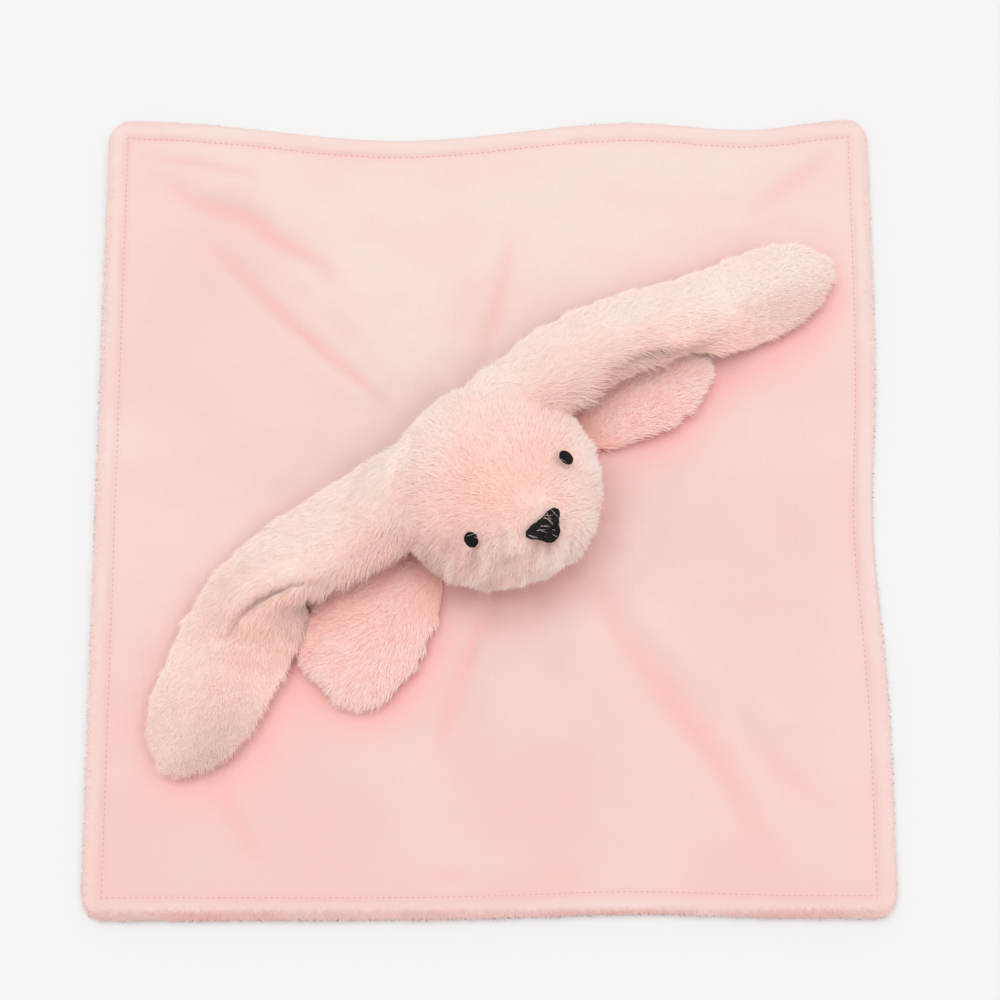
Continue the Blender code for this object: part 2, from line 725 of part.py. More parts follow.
def main():
    """Make the blanket, then the rabbit's parts under the empties of their joints."""
    make_front_panel()
    make_back_panel()
    make_topstitch()

    rabbit = add_empty("rabbit", Vector((NECK_X, NECK_Y, 0)))
    rabbit.rotation_euler.z = RABBIT_TURN
    origin = Vector((0, 0, 0))
    make_neck_thread(rabbit, origin)
    beside_head = make_cutter(rabbit)

    tip_place = Vector((0, -TIP_FORWARD, BLANKET_TOP))
    head = add_empty("head_tip_axis", tip_place, rabbit, origin)
    make_head(head, tip_place)
    make_face(head, tip_place)

    for word, side, ear in (("left", -1, LEFT_EAR), ("right", 1, RIGHT_EAR)):
        hinge = Vector((side * math.cos(EAR_SEAM_ANGLE), math.sin(EAR_SEAM_ANGLE), 0))
        hinge *= EAR_HINGE_OUT
        hinge.z = HEAD_EQUATOR + EAR_HINGE_ABOVE_EQUATOR
        ear_pivot = add_empty(f"ear_{word}_axis", hinge, head, tip_place)
        make_ear(word, ear, side, beside_head, ear_pivot, hinge)
        arm_place = Vector((0, 0, BLANKET_TOP))
        arm_pivot = add_empty(f"arm_{word}_axis", arm_place, rabbit, origin)
        make_arm(word, side, arm_pivot, arm_place)


clear_scene()
PARTS = new_collection("comfort_blanket")
CUTTERS = new_collection("cutters")
main()
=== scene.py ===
"""Looks of the comfort blanket: velour cloth, topstitching, plush pile and embroidery.

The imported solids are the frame. Every piece below is made around them, in metres, +Z up.
"""

import math

import bmesh
import bpy
import numpy as np
from bpy.props import FloatProperty, FloatVectorProperty, IntProperty, PointerProperty
from mathutils import Matrix, Vector
from mathutils.bvhtree import BVHTree


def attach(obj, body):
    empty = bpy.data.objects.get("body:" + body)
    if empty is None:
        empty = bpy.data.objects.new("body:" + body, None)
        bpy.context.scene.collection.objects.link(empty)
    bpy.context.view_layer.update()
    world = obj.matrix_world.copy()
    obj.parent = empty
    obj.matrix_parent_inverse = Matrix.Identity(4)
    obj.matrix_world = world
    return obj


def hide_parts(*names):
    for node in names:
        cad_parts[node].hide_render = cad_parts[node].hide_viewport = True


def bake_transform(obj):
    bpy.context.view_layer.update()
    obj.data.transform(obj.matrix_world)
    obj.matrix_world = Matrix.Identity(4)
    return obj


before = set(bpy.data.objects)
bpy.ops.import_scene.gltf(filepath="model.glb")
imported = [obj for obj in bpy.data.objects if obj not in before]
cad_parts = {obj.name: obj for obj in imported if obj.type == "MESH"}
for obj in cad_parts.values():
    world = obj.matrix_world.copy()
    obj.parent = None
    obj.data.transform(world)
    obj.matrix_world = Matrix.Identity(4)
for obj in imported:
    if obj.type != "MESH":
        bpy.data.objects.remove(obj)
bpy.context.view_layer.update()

bl_info = {
    "name": "Comfort blanket looks",
    "version": (1, 0, 0),
    "blender": (4, 5, 0),
    "location": "View3D > Sidebar > Comfort blanket",
    "description": "Dresses the comfort blanket's solids in velour, stitches and plush pile",
    "category": "Object",
}

MM = 0.001

# The camera, fitted to the blanket's corners in the photograph
CAMERA_TARGET = (0.0048, 0.0022, 0.0)
CAMERA_DISTANCE = 0.9132
CAMERA_TILT = math.radians(12.0)
CAMERA_ROLL = -0.0028
CAMERA_LENS = 77.12
CAMERA_SENSOR = 36.0

# The stage: the lamps' strengths, widths in degrees and places, then the floor and the sky
LAMPS = (
    ("key", 0.955, 40.0, (-0.22, 0.22, 1.0)),
    ("fill", 0.84, 52.0, (0.28, -0.06, 1.0)),
)
FLOOR_SIDE = 4.0
FLOOR_LEVEL = -0.0002
FLOOR_COLOUR = (0.815, 0.834, 0.840)
SKY_COLOUR = (1.0, 0.965, 0.955)
SKY_STRENGTH = 0.57
BACKDROP_COLOUR = (0.90, 0.90, 0.90)
LIGHT_BOUNCES = 20
FIBRE_BOUNCES = 16

# The rabbit's place on the blanket: its chin looks along its own -Y
RABBIT_PLACE = Vector((0.0035, 0.0010, 0.0))
RABBIT_TURN = math.radians(41.3)
HEAD_RADIUS = 0.0450
NECK_RADIUS = 0.030
UPPER_SIDES = {"left": -1, "right": 1}

# The embroidery in the rabbit's own plan: places, half widths and the nose's stretch sideways
EYE_PLACES = {"eye_left": (-0.0250, -0.0130), "eye_right": (0.0250, -0.0130)}
EYE_HALF = 0.0036
NOSE_LEVEL = -0.0275
NOSE_HALF = 0.0048
NOSE_STRETCH = 1.45

# The blanket's outline: each sag's middle and half width as shares of half the side, and depth
BLANKET_HALF = (0.1668, 0.1728)
TOP_SAGS = ((-0.23, 0.42, 0.0095), (0.69, 0.22, 0.0050))
RIGHT_SAGS = ((-0.07, 0.30, 0.0040),)
BOTTOM_SAGS = ((0.35, 0.30, 0.0020),)
CORNER_HOLD_POWER = 8
CORNER_ROUND = 0.0100

# The cloth's levels over the table, its rolled edges and the reach of its stitched groove
SEAM_LEVEL = 0.0029
SEAM_GAP = 0.00015
BORDER_TOP = 0.0055
FIELD_TOP = 0.0050
LOWEST_TOP = 0.0036
CLOTH_WALL = 0.0012
BORDER_ROLL = 0.0034
LOWER_ROLL = 0.0032
GROOVE_REACH = 0.0016
LOWER_GROOVE_REACH = 0.0013
LOWER_GROOVE_DEPTH = 0.0007
STITCH_LIFT = 0.00005
# The level that the cloth is free to reach, its gap to what lies on it, and where probes start
CAP_FREE = 0.03
CAP_GAP = 0.0003
PROBE_DEPTH = 0.002
PROBE_HEIGHT = 0.05
# Distances from the neck between which the ears' shade on the cloth comes to its full depth
SHADE_NEAR = (0.050, 0.085)

# Insets from the edge in millimetres where the cloth's grid is finer, then its even step
EDGE_INSETS = (
    *(0, 0.3, 0.8, 1.5, 2.4, 3.4, 4.5, 5.6, 6.5, 7.2),
    *(7.8, 8.2, 8.6, 9.0, 9.5, 10.2, 11.2, 12.6, 14.5),
)
GRID_STEP = 0.0021

# The upper cloth's folds in plan, in millimetres, from the neck outwards: its line, its height
# (below zero for a valley) and its width on the left and the right of the line, looking out
FOLDS = (
    (
        ((-38, 38), (-51, 50), (-64, 61), (-79, 74), (-97, 91), (-108, 103), (-121, 115)),
        *(-2.6, 3.0, 3.4),
    ),
    (((-24, 45), (-50, 74), (-78, 101), (-100, 118)), 3.2, 11.0, 8.0),
    (((-46, 40), (-74, 62), (-104, 88), (-128, 108)), 2.2, 9.0, 14.0),
    (
        ((-64, 98), (-72, 107), (-82, 112), (-93, 118), (-106, 128), (-130, 136), (-146, 150)),
        *(-2.3, 5.5, 5.0),
    ),
    (((-99, 146), (-111, 149), (-129, 153), (-144, 155), (-156, 157)), -1.3, 2.6, 2.6),
    (((-60, 116), (-90, 134), (-112, 147), (-130, 155)), 1.6, 9.0, 9.0),
    (((-3, 58), (1, 76), (6, 96), (10, 118)), -1.5, 4.5, 4.5),
    (((-14, 62), (-16, 84), (-12, 112)), 1.5, 10.0, 8.0),
    (((14, 66), (22, 92), (30, 120)), 1.3, 9.0, 10.0),
    (
        ((43, -28), (53, -53), (68, -74), (82, -93), (91, -104), (104, -127), (113, -148)),
        *(-2.2, 10.0, 7.0),
    ),
    (((57, -30), (70, -52), (96, -75), (123, -90), (141, -103)), 3.0, 13.0, 9.0),
    (((103, -90), (122, -114), (142, -130)), -1.1, 7.0, 7.0),
    (((30, -42), (44, -72), (60, -100), (76, -128)), 2.4, 9.0, 13.0),
    (((0, -42), (-6, -57), (-11, -72), (-16, -88), (-21, -106)), -2.0, 3.6, 3.6),
    (((22, -157), (38, -155)), -1.2, 4.5, 4.5),
    (((-24, -158), (-8, -156)), -1.0, 4.5, 4.5),
    (((10, -48), (6, -76), (-2, -104)), 1.9, 8.0, 9.0),
    (((-16, -50), (-28, -78), (-42, -104)), 1.6, 9.0, 9.0),
    (((-112, -112), (-106, -130), (-92, -150)), -1.6, 5.0, 5.0),
    (((-60, -90), (-66, -116), (-62, -142)), 1.3, 13.0, 10.0),
    (((50, -4), (84, -8), (122, -14)), 1.2, 9.0, 14.0),
    (((112, 128), (134, 144), (150, 158)), -1.3, 5.0, 5.0),
    (((96, 134), (118, 150)), 1.1, 9.0, 8.0),
    (((-152, 96), (-150, 60), (-152, 20)), 0.9, 8.0, 9.0),
    (((-150, -128), (-134, -146), (-116, -158)), 1.0, 9.0, 9.0),
)
DEEP_VALLEY = 2.2

# Broad areas of the velour that are brushed pinker, or paler below zero: place, radius, amount
BRUSHED_AREAS = (
    (-0.118, 0.110, 0.040, 0.32),
    (-0.100, -0.135, 0.050, 0.25),
    (0.040, 0.120, 0.050, -0.20),
    (-0.055, 0.085, 0.045, -0.28),
    (0.125, 0.020, 0.050, 0.25),
    (0.150, 0.130, 0.030, 0.10),
    (-0.140, 0.020, 0.040, 0.08),
    (0.060, -0.060, 0.025, -0.25),
)

# The short pile on the rolled edge: its length, width, lean and tufts
HEM_PILE = {"length": 0.0019, "width": 0.00018, "lean": 0.45, "tuft": 0.004}

# The embroidery's satin stitches: from row to row, the length of one, and its unevenness
SATIN_PITCH = 0.00036
SATIN_LENGTH = 0.0024
SATIN_STAGGER = 0.0006
SATIN_SHIFT = 0.00012
SATIN_TOP = 0.09
# Stray fibres that lie over the embroidery: how many for each square metre, and their shape
STRAY_HAIRS = 1.8e5
STRAY_PILE = {"length": 0.0060, "width": 0.00010, "lean": 0.95}

# The ears' and arms' middle lines in the rabbit's own plan, in millimetres, root to tip
EAR_LINES = {
    "left": (
        *((-20, 31), (-45, 31), (-62, 33), (-80, 35), (-100, 34)),
        *((-118, 30), (-135, 23), (-155, 13), (-176, 6)),
    ),
    "right": (
        *((20, 31), (46, 28), (62, 27), (78, 23), (94, 13)),
        *((110, 4), (128, -3), (148, -9), (178, -22)),
    ),
}
ARM_LINES = {
    "left": ((-20, -8), (-50, -9), (-80, -12), (-104, -11)),
    "right": ((20, -6), (50, -6), (80, -9), (104, -8)),
}
EAR_HALF_WIDTH = 0.024
ARM_HALF_WIDTH = 0.021
# The materials of the skins under the pile
BACKINGS = {"head": "plush_backing", "ear": "ear_backing", "arm": "arm_backing"}
# The skins under the pile: how fine they are, and how deep under the panels' outer faces
HEAD_VOXEL = 0.0018
EAR_VOXEL = 0.0013
ARM_VOXEL = 0.0014
EAR_DEPTH = 0.0014
ARM_DEPTH = 0.0024
# The pile's start over its skin, and the room that it needs between an ear and an arm
PILE_START = 0.0011
EAR_ROOM = 0.0025
ARM_ROOM = 0.0030
ARM_PILE_WIDTH = 0.00031
# The ears' gathered roots round the head's rim: turns in degrees, reach, radius and level
ROOT_TURNS = {"left": (106.0, 172.0), "right": (74.0, 8.0)}
ROOT_REACH = 0.0365
ROOT_RADIUS = 0.0082
ROOT_LEVEL = 0.0385
ROOT_START = 0.054
ROOT_FLOOR = 0.024
ROOT_RINGS = 21
ROOT_SECTORS = 14
# The arms' bulges: their middle, and the shares by which the upper and the lower half grow
ARM_BULGES = {"left": (-0.008, 0.38, 0.16), "right": (-0.004, 0.05, 0.24)}
# Where the left ear's leaf lies against the arm in the row's plan, how far and how broadly
LEAF_PLACE = (-0.080, -0.054)
LEAF_REACH = 0.0040
LEAF_RADIUS = 0.014
# Reach in cells, and the size of one cell, over which the ears' upper sides are evened out
SOFT_REACH = 4
SOFT_CELL = 0.0016
SOFT_RANGE = (-0.005, 0.002)
# Folds of the ears: their lines in millimetres, the height of their lip and its width
EAR_FOLDS = {
    "left": (
        (((-74, 19), (-87, 25), (-99, 30), (-112, 32), (-124, 29)), 3.6, 7.5),
        (((-128, 20), (-140, 8), (-146, -4)), 0.5, 9.0),
    ),
    "right": (
        (((58, 7), (70, 7), (82, 3), (94, -5), (108, -13)), 2.5, 7.0),
        (((120, -6), (140, -12), (156, -20)), 0.5, 9.0),
    ),
}
LIP_DROP = 0.0009
CREASE_OFFSET = 0.0010
CREASE_REACH = 0.0022
DEEP_CREASE = 3.0

COSINE, SINE = math.cos(RABBIT_TURN), math.sin(RABBIT_TURN)
TURN = np.array(((COSINE, SINE, 0.0), (-SINE, COSINE, 0.0), (0.0, 0.0, 1.0)))


def rabbit_to_row(point):
    """A point given in the rabbit's own directions, in the row's frame."""
    return Matrix.Rotation(RABBIT_TURN, 3, "Z") @ Vector(point) + RABBIT_PLACE


def rows_to_rabbit(points):
    """An array of points of the row's frame in the rabbit's own directions."""
    return (points - np.array(RABBIT_PLACE)) @ TURN.T


def turned_to_row(vectors):
    """An array of directions in the rabbit's own frame, turned into the row's frame."""
    return vectors @ TURN


def unit(vectors):
    """The array's vectors, each one metre long."""
    return vectors / np.maximum(np.linalg.norm(vectors, axis=-1, keepdims=True), 1e-9)


def smooth(low, high, value):
    """0 below low, 1 above high and a soft rise between them."""
    share = np.clip((value - low) / (high - low), 0, 1)
    return share * share * (3 - 2 * share)


def bell(distance, reach):
    """1 at no distance, falling softly away over the reach."""
    return np.exp(-((distance / reach) ** 2))


def from_neck(x, y):
    """Distances in plan from the middle of the neck."""
    return np.hypot(x - RABBIT_PLACE.x, y - RABBIT_PLACE.y)


def read_points(mesh, field="co"):
    """The mesh's points, or their normals, as an array."""
    points = np.empty(len(mesh.vertices) * 3)
    mesh.vertices.foreach_get(field, points)
    return points.reshape(-1, 3)


def read_surface(mesh):
    """The mesh's points and their normals."""
    return read_points(mesh), read_points(mesh, "normal")


def move_points(mesh, points):
    """Move the mesh's points to new places."""
    mesh.vertices.foreach_set("co", points.ravel())
    mesh.update()


def write_attribute(mesh, name, values):
    """Keep one number, or one vector, for each point of the mesh."""
    kind, field = ("FLOAT_VECTOR", "vector") if values.ndim == 2 else ("FLOAT", "value")
    attribute = mesh.attributes.new(name, kind, "POINT")
    attribute.data.foreach_set(field, values.astype(np.float32).ravel())


def new_object(name, mesh):
    """Link a mesh to the scene under its piece's name."""
    mesh.name = name
    made = bpy.data.objects.new(name, mesh)
    bpy.context.scene.collection.objects.link(made)
    return made


def evaluated_mesh(obj):
    """The object's mesh with its modifiers applied."""
    graph = bpy.context.evaluated_depsgraph_get()
    return bpy.data.meshes.new_from_object(obj.evaluated_get(graph))


def kept_mesh(made, mesh):
    """Write an edited mesh back to its data."""
    made.to_mesh(mesh)
    made.free()
    return mesh


def stands_for(node):
    """Hide the frame's node that a finished piece stands for."""
    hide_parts(node)


def dress(obj, material, node):
    """Give a finished piece its material and smooth shading, and hide the node that it stands for.
    """
    obj.data.materials.clear()
    obj.data.materials.append(bpy.data.materials[material])
    obj.data.shade_smooth()
    stands_for(node)


class Graph:
    """A short way to write the nodes of a material, a group or a modifier's tree."""

    def __init__(self, tree):
        self.tree = tree

    def add(self, kind, inputs=None, **settings):
        """Add a node, set its properties and fill or link its inputs."""
        node = self.tree.nodes.new(kind)
        for name, value in settings.items():
            setattr(node, name, value)
        for name, value in (inputs or {}).items():
            self.feed(node.inputs[name], value)
        return node

    def first(self, kind, inputs=None, **settings):
        """Add a node and take its first output."""
        return self.add(kind, inputs, **settings).outputs[0]

    def feed(self, socket, value):
        """Link an output to the socket, or set its value."""
        if isinstance(value, bpy.types.NodeSocket):
            self.tree.links.new(value, socket)
        else:
            socket.default_value = value

    def math(self, operation, *values, clamp=False):
        """One step of arithmetic."""
        node = self.add("ShaderNodeMath", operation=operation, use_clamp=clamp)
        for socket, value in zip(node.inputs, values):
            self.feed(socket, value)
        return node.outputs[0]

    def times(self, first, second):
        """The product of two values."""
        return self.math("MULTIPLY", first, second)

    def plus(self, first, second):
        """The sum of two values."""
        return self.math("ADD", first, second)

    def swing(self, share, reach):
        """A share of 0 to 1 as a value that swings both ways about 0, over the reach in all."""
        return self.times(self.math("SUBTRACT", share, 0.5), reach)

    def vector(self, x, y, z):
        """Three values as a vector."""
        return self.first("ShaderNodeCombineXYZ", {"X": x, "Y": y, "Z": z})

    def parts(self, vector):
        """A vector's three values."""
        return self.add("ShaderNodeSeparateXYZ", {"Vector": vector}).outputs

    def mix(self, share, first, second):
        """Mix two colours."""
        node = self.add("ShaderNodeMix", data_type="RGBA", blend_type="MIX")
        for index, value in ((0, share), (6, first), (7, second)):
            self.feed(node.inputs[index], value)
        return node.outputs[2]

    def noise(self, vector, scale, detail=2.0, roughness=0.5):
        """A noise value of 0 to 1."""
        inputs = {"Vector": vector, "Scale": scale, "Detail": detail, "Roughness": roughness}
        return self.add("ShaderNodeTexNoise", inputs).outputs["Fac"]

    def spread(self, value, low, high, to_low=0.0, to_high=1.0):
        """Stretch a range of values to another, softly."""
        inputs = {"Value": value, "From Min": low, "From Max": high}
        inputs.update({"To Min": to_low, "To Max": to_high})
        return self.first("ShaderNodeMapRange", inputs, interpolation_type="SMOOTHSTEP")

    def attribute(self, name):
        """A number that the mesh keeps for each point, in a material."""
        return self.add("ShaderNodeAttribute", attribute_name=name).outputs["Fac"]

    def named(self, name, kind="FLOAT"):
        """What the mesh keeps for each point, in a modifier's tree."""
        node = self.add("GeometryNodeInputNamedAttribute", {"Name": name}, data_type=kind)
        return node.outputs["Attribute"]

    def store(self, geometry, name, value, kind="FLOAT"):
        """Keep a value for each point under a name."""
        inputs = {"Geometry": geometry, "Name": name, "Value": value}
        kinds = {"data_type": kind, "domain": "POINT"}
        return self.first("GeometryNodeStoreNamedAttribute", inputs, **kinds)

    def place(self):
        """The place on the piece itself, for a material."""
        return self.add("ShaderNodeTexCoord").outputs["Object"]

    def patched(self, place, colour, warm, amount, scale):
        """A colour with soft patches of another."""
        tree = bpy.data.node_groups["Brushed patches"]
        inputs = {"Vector": place, "Colour": colour, "Warm": warm}
        inputs.update({"Amount": amount, "Patch Scale": scale})
        return self.first("ShaderNodeGroup", inputs, node_tree=tree)

    def facing(self, turned, upright):
        """A turn that brings +Z to one direction and +X towards another."""
        inputs = {"Primary Axis": turned, "Secondary Axis": upright}
        axes = {"primary_axis": "Z", "secondary_axis": "X"}
        return self.first("FunctionNodeAxesToRotation", inputs, **axes)

    def end_with_copies(self, points, shape, turn, size, material):
        """Put a copy of the shape on each point, as real faces with a material."""
        inputs = {"Points": points, "Instance": shape, "Rotation": turn, "Scale": size}
        laid = self.first("GeometryNodeInstanceOnPoints", inputs)
        real = self.first("GeometryNodeRealizeInstances", {"Geometry": laid})
        done = self.first("GeometryNodeSetMaterial", {"Geometry": real, "Material": material})
        self.add("NodeGroupOutput", {"Geometry": done})


def rgba(colour):
    """A colour with full alpha."""
    return (*colour, 1.0)


def darker(colour, share):
    """A darker colour, with full alpha."""
    return rgba(value * share for value in colour)


def new_tree(name, kind, inputs, output):
    """A group of nodes with its named inputs and its one output, as its graph and its inputs."""
    tree = bpy.data.node_groups.new(name, kind)
    sockets = tree.interface
    for label, socket, value in inputs:
        made = sockets.new_socket(label, in_out="INPUT", socket_type=f"NodeSocket{socket}")
        if value is not None:
            made.default_value = value
    sockets.new_socket(output[0], in_out="OUTPUT", socket_type=f"NodeSocket{output[1]}")
    graph = Graph(tree)
    return graph, graph.add("NodeGroupInput").outputs


def new_material(name, roughness, sheen=0.0, sheen_roughness=0.5, specular=0.10):
    """A cloth material's Principled shader, with its plain values on its own sockets."""
    material = bpy.data.materials.new(name)
    material.use_nodes = True
    shader = material.node_tree.nodes["Principled BSDF"]
    for key, value in (
        ("Roughness", roughness),
        ("Specular IOR Level", specular),
        ("Sheen Weight", sheen),
        ("Sheen Roughness", sheen_roughness),
    ):
        shader.inputs[key].default_value = value
    return Graph(material.node_tree), shader


def finish_material(graph, shader, colour, height=None, depth=0.0):
    """Give a shader its colour, and small bumps of a depth from a height of 0 to 1."""
    graph.feed(shader.inputs["Base Color"], colour)
    if height is not None:
        inputs = {"Height": height, "Strength": 0.3, "Distance": depth}
        graph.feed(shader.inputs["Normal"], graph.first("ShaderNodeBump", inputs))


def soft_blotches():
    """A group that shifts a colour in soft patches, as brushed pile does."""
    inputs = (
        ("Vector", "Vector", None),
        ("Colour", "Color", None),
        ("Warm", "Color", None),
        ("Amount", "Float", None),
        ("Patch Scale", "Float", None),
    )
    graph, given = new_tree("Brushed patches", "ShaderNodeTree", inputs, ("Colour", "Color"))
    wide = graph.noise(given["Vector"], given["Patch Scale"], 2.0, 0.5)
    fine = graph.noise(given["Vector"], graph.times(given["Patch Scale"], 5.0), 3.0, 0.6)
    both = graph.plus(graph.times(wide, 0.75), graph.times(fine, 0.25))
    share = graph.times(graph.spread(both, 0.36, 0.64), given["Amount"])
    graph.add("NodeGroupOutput", {"Colour": graph.mix(share, given["Colour"], given["Warm"])})


def velour_material(name, looks):
    """Short-pile velour: brushed patches, pinker creases of painted shade, painted shadow round the
    rabbit, and a fine pile.
    """
    graph, shader = new_material(name, 0.85, 0.15, 0.45)
    place = graph.place()
    stretched = graph.first("ShaderNodeMapping", {"Vector": place, "Scale": (0.7, 1.6, 1.0)})
    warm, crease_shade = rgba(looks.cloth_warm), rgba(looks.cloth_crease_shade)
    # Brushed patches, and painted light: paler towards the top and on the rolled edge
    broad = graph.mix(graph.attribute("brushed_and_lit"), rgba(looks.cloth_colour), warm)
    patches = graph.patched(stretched, broad, warm, 0.28, 20.0)
    fine = graph.noise(place, 620.0, 3.0, 0.65)
    # Painted shade: deeper pink in the folds, the groove and round the rabbit
    pinked = graph.mix(graph.attribute("crease_shade"), patches, crease_shade)
    # Painted shadow where the rabbit keeps the light off the velour
    pinked = graph.mix(graph.attribute("shaded"), pinked, rgba(looks.cloth_shade))
    colour = graph.mix(graph.spread(fine, 0.3, 0.7, 0.0, 0.10), pinked, crease_shade)
    pile = graph.plus(fine, graph.times(graph.noise(place, 1900.0, 1.0), 0.5))
    finish_material(graph, shader, colour, pile, 0.00025)


def pile_material(name, root, tip, warm, dark):
    """Plush fibres: deeper colour at the root, paler at the tip, each a little different."""
    graph, shader = new_material(name, 0.9, specular=0.05)
    warm = rgba(warm)
    patches = graph.patched(graph.place(), rgba(tip), warm, 0.22, 30.0)
    toned = graph.mix(graph.attribute("tone"), patches, warm)
    # Deeper at the root: partly the pile's own colour, partly painted shade down between the fibres
    lit = graph.spread(graph.attribute("along"), 0.05, 0.85)
    colour = graph.mix(lit, rgba(root), toned)
    varied = graph.mix(graph.times(graph.attribute("shade"), 0.28), colour, warm)
    # The dusk share darkens the fibres: painted shade in folds and on shaded sides, and the cheeks'
    # own streaks
    finish_material(graph, shader, graph.mix(graph.attribute("dusk"), varied, rgba(dark)))


def skin_material(name, colour):
    """The knitted backing under the pile."""
    graph, shader = new_material(name, 0.95)
    fine = graph.noise(graph.place(), 900.0, 2.0)
    mixed = graph.mix(fine, darker(colour, 0.86), rgba(colour))
    finish_material(graph, shader, mixed, fine, 0.0001)


def thread_material(name, colour, sheen, twist):
    """Sewing or embroidery thread, with its twist."""
    graph, shader = new_material(name, 0.34, sheen, 0.3, 0.18)
    inputs = {"Vector": graph.place(), "Scale": twist, "Distortion": 1.5, "Detail": 2.0}
    wave = graph.add("ShaderNodeTexWave", inputs, bands_direction="DIAGONAL").outputs["Fac"]
    mixed = graph.mix(wave, darker(colour, 0.72), rgba(colour))
    finish_material(graph, shader, mixed, wave, 0.0002)


def sag(share, sags):
    """How far an edge falls in, at shares of half its side."""
    return sum(depth * bell(share - middle, half) for middle, half, depth in sags)


def with_sags(x, y):
    """Places in plan, moved in with the blanket's sagging edges."""
    across, along = x / BLANKET_HALF[0], y / BLANKET_HALF[1]
    free_across, free_along = 1 - across**CORNER_HOLD_POWER, 1 - along**CORNER_HOLD_POWER
    y = y - sag(across, TOP_SAGS) * free_across * (1 + along) / 2
    y = y + sag(across, BOTTOM_SAGS) * free_across * (1 - along) / 2
    return x - sag(along, RIGHT_SAGS) * free_along * (1 + across) / 2, y


def cloth_steps(half):
    """Places across half a side and back, finer near the edges."""
    insets = np.array(EDGE_INSETS) * MM
    count = round((half - insets[-1]) / GRID_STEP)
    inner = np.linspace(insets[-1], half, count + 1)[1:]
    steps = half - np.concatenate([insets, inner])
    return np.concatenate([-steps, steps[::-1][1:]])


def cloth_plan():
    """The cloth's grid in plan with its outline's sags, and each point's inset from the edge."""
    half_x, half_y = BLANKET_HALF
    x, y = np.meshgrid(cloth_steps(half_x), cloth_steps(half_y), indexing="ij")
    inset_x, inset_y = half_x - np.abs(x), half_y - np.abs(y)
    corner = (inset_x < CORNER_ROUND) & (inset_y < CORNER_ROUND)
    a, b = 1 - inset_x / CORNER_ROUND, 1 - inset_y / CORNER_ROUND
    round_a = a * np.sqrt(np.maximum(1 - b * b / 2, 0))
    round_b = b * np.sqrt(np.maximum(1 - a * a / 2, 0))
    inset = np.minimum(inset_x, inset_y)
    inset = np.where(corner, CORNER_ROUND * (1 - np.hypot(round_a, round_b)), inset)
    x = np.where(corner, np.sign(x) * (half_x - CORNER_ROUND * (1 - round_a)), x)
    y = np.where(corner, np.sign(y) * (half_y - CORNER_ROUND * (1 - round_b)), y)
    return *with_sags(x, y), inset


def smooth_line(points, steps=40):
    """A smooth line through a few points, and its directions."""
    points = np.array(points, float) * MM
    ends = np.vstack([2 * points[0] - points[1], points, 2 * points[-1] - points[-2]])
    line = []
    for step in np.linspace(0, len(points) - 1, steps):
        here = min(int(step), len(points) - 2)
        t = step - here
        p0, p1, p2, p3 = ends[here : here + 4]
        bend = (2 * p0 - 5 * p1 + 4 * p2 - p3) * t * t + (3 * p1 - p0 - 3 * p2 + p3) * t**3
        line.append(0.5 * (2 * p1 + (p2 - p0) * t + bend))
    line = np.array(line)
    return line, unit(np.gradient(line, axis=0))


def beside_line(places, line, heading):
    """The nearest step of a line to each place, the way along it, and the offset and side there."""
    apart = places[:, None, :] - line[None, :, :]
    nearest = np.argmin((apart**2).sum(2), axis=1)
    way, offset = heading[nearest], apart[np.arange(len(places)), nearest]
    return nearest, way, offset, way[:, 0] * offset[:, 1] - way[:, 1] * offset[:, 0]


def fold_lift(x, y):
    """The height that the folds add to the cloth at each place, and its depth in a valley."""
    lift, valley = np.zeros_like(x), np.zeros_like(x)
    places = np.stack([x.ravel(), y.ravel()], axis=1)
    for points, height, left, right in FOLDS:
        line, heading = smooth_line(points)
        last = len(line) - 1
        nearest, way, offset, side = beside_line(places, line, heading)
        beyond = (way * offset).sum(1)
        past = np.where((nearest == 0) & (beyond < 0), beyond, 0)
        past = np.where((nearest == last) & (beyond > 0), beyond, past)
        width = np.where(side > 0, left, right) * MM
        run = nearest + np.clip(beyond / np.linalg.norm(line[1] - line[0]), -0.5, 0.5)
        ends = np.sin(np.pi * np.clip(run / last, 0.01, 0.99)) ** 0.6
        away = side**2 + past**2
        lift += height * MM * (ends * np.exp(-away / width**2)).reshape(x.shape)
        if height < 0:
            narrow = ends * np.exp(-away / (0.75 * width) ** 2)
            depth = min(-height / DEEP_VALLEY, 1)
            valley = np.maximum(valley, narrow.reshape(x.shape) * depth)
    return lift, valley


def value_noise(x, y, size, seed):
    """Soft noise of -1 to 1 whose blotches are about the given size."""
    rng = np.random.default_rng(seed)
    table = rng.uniform(-1, 1, (64, 64))
    u, v = x / size + 31.5, y / size + 31.5
    i, j = np.floor(u).astype(int) % 63, np.floor(v).astype(int) % 63
    s, t = u - np.floor(u), v - np.floor(v)
    s, t = s * s * (3 - 2 * s), t * t * (3 - 2 * t)
    low = table[i, j] * (1 - s) + table[i + 1, j] * s
    high = table[i, j + 1] * (1 - s) + table[i + 1, j + 1] * s
    return low * (1 - t) + high * t


def blurred(values, reach):
    """The grid's values averaged over a reach of cells, twice each way."""
    kernel = np.ones(2 * reach + 1) / (2 * reach + 1)
    for axis in (0, 1, 0, 1):
        pads = [(reach, reach) if k == axis else (0, 0) for k in (0, 1)]
        padded = np.pad(values, pads, "edge")
        values = np.apply_along_axis(np.convolve, axis, padded, kernel, "valid")
    return values


def gather_ripples(x, y, neck):
    """Small tucks that run out from the neck seam and fade."""
    turn = np.arctan2(y - RABBIT_PLACE.y, x - RABBIT_PLACE.x)
    ripple = np.sin(turn * 17 + 1.3 * np.sin(turn * 3 + 0.6)) + 0.5 * np.sin(turn * 29 + 2.0)
    return 0.0006 * ripple * bell(neck - 0.040, 0.016)


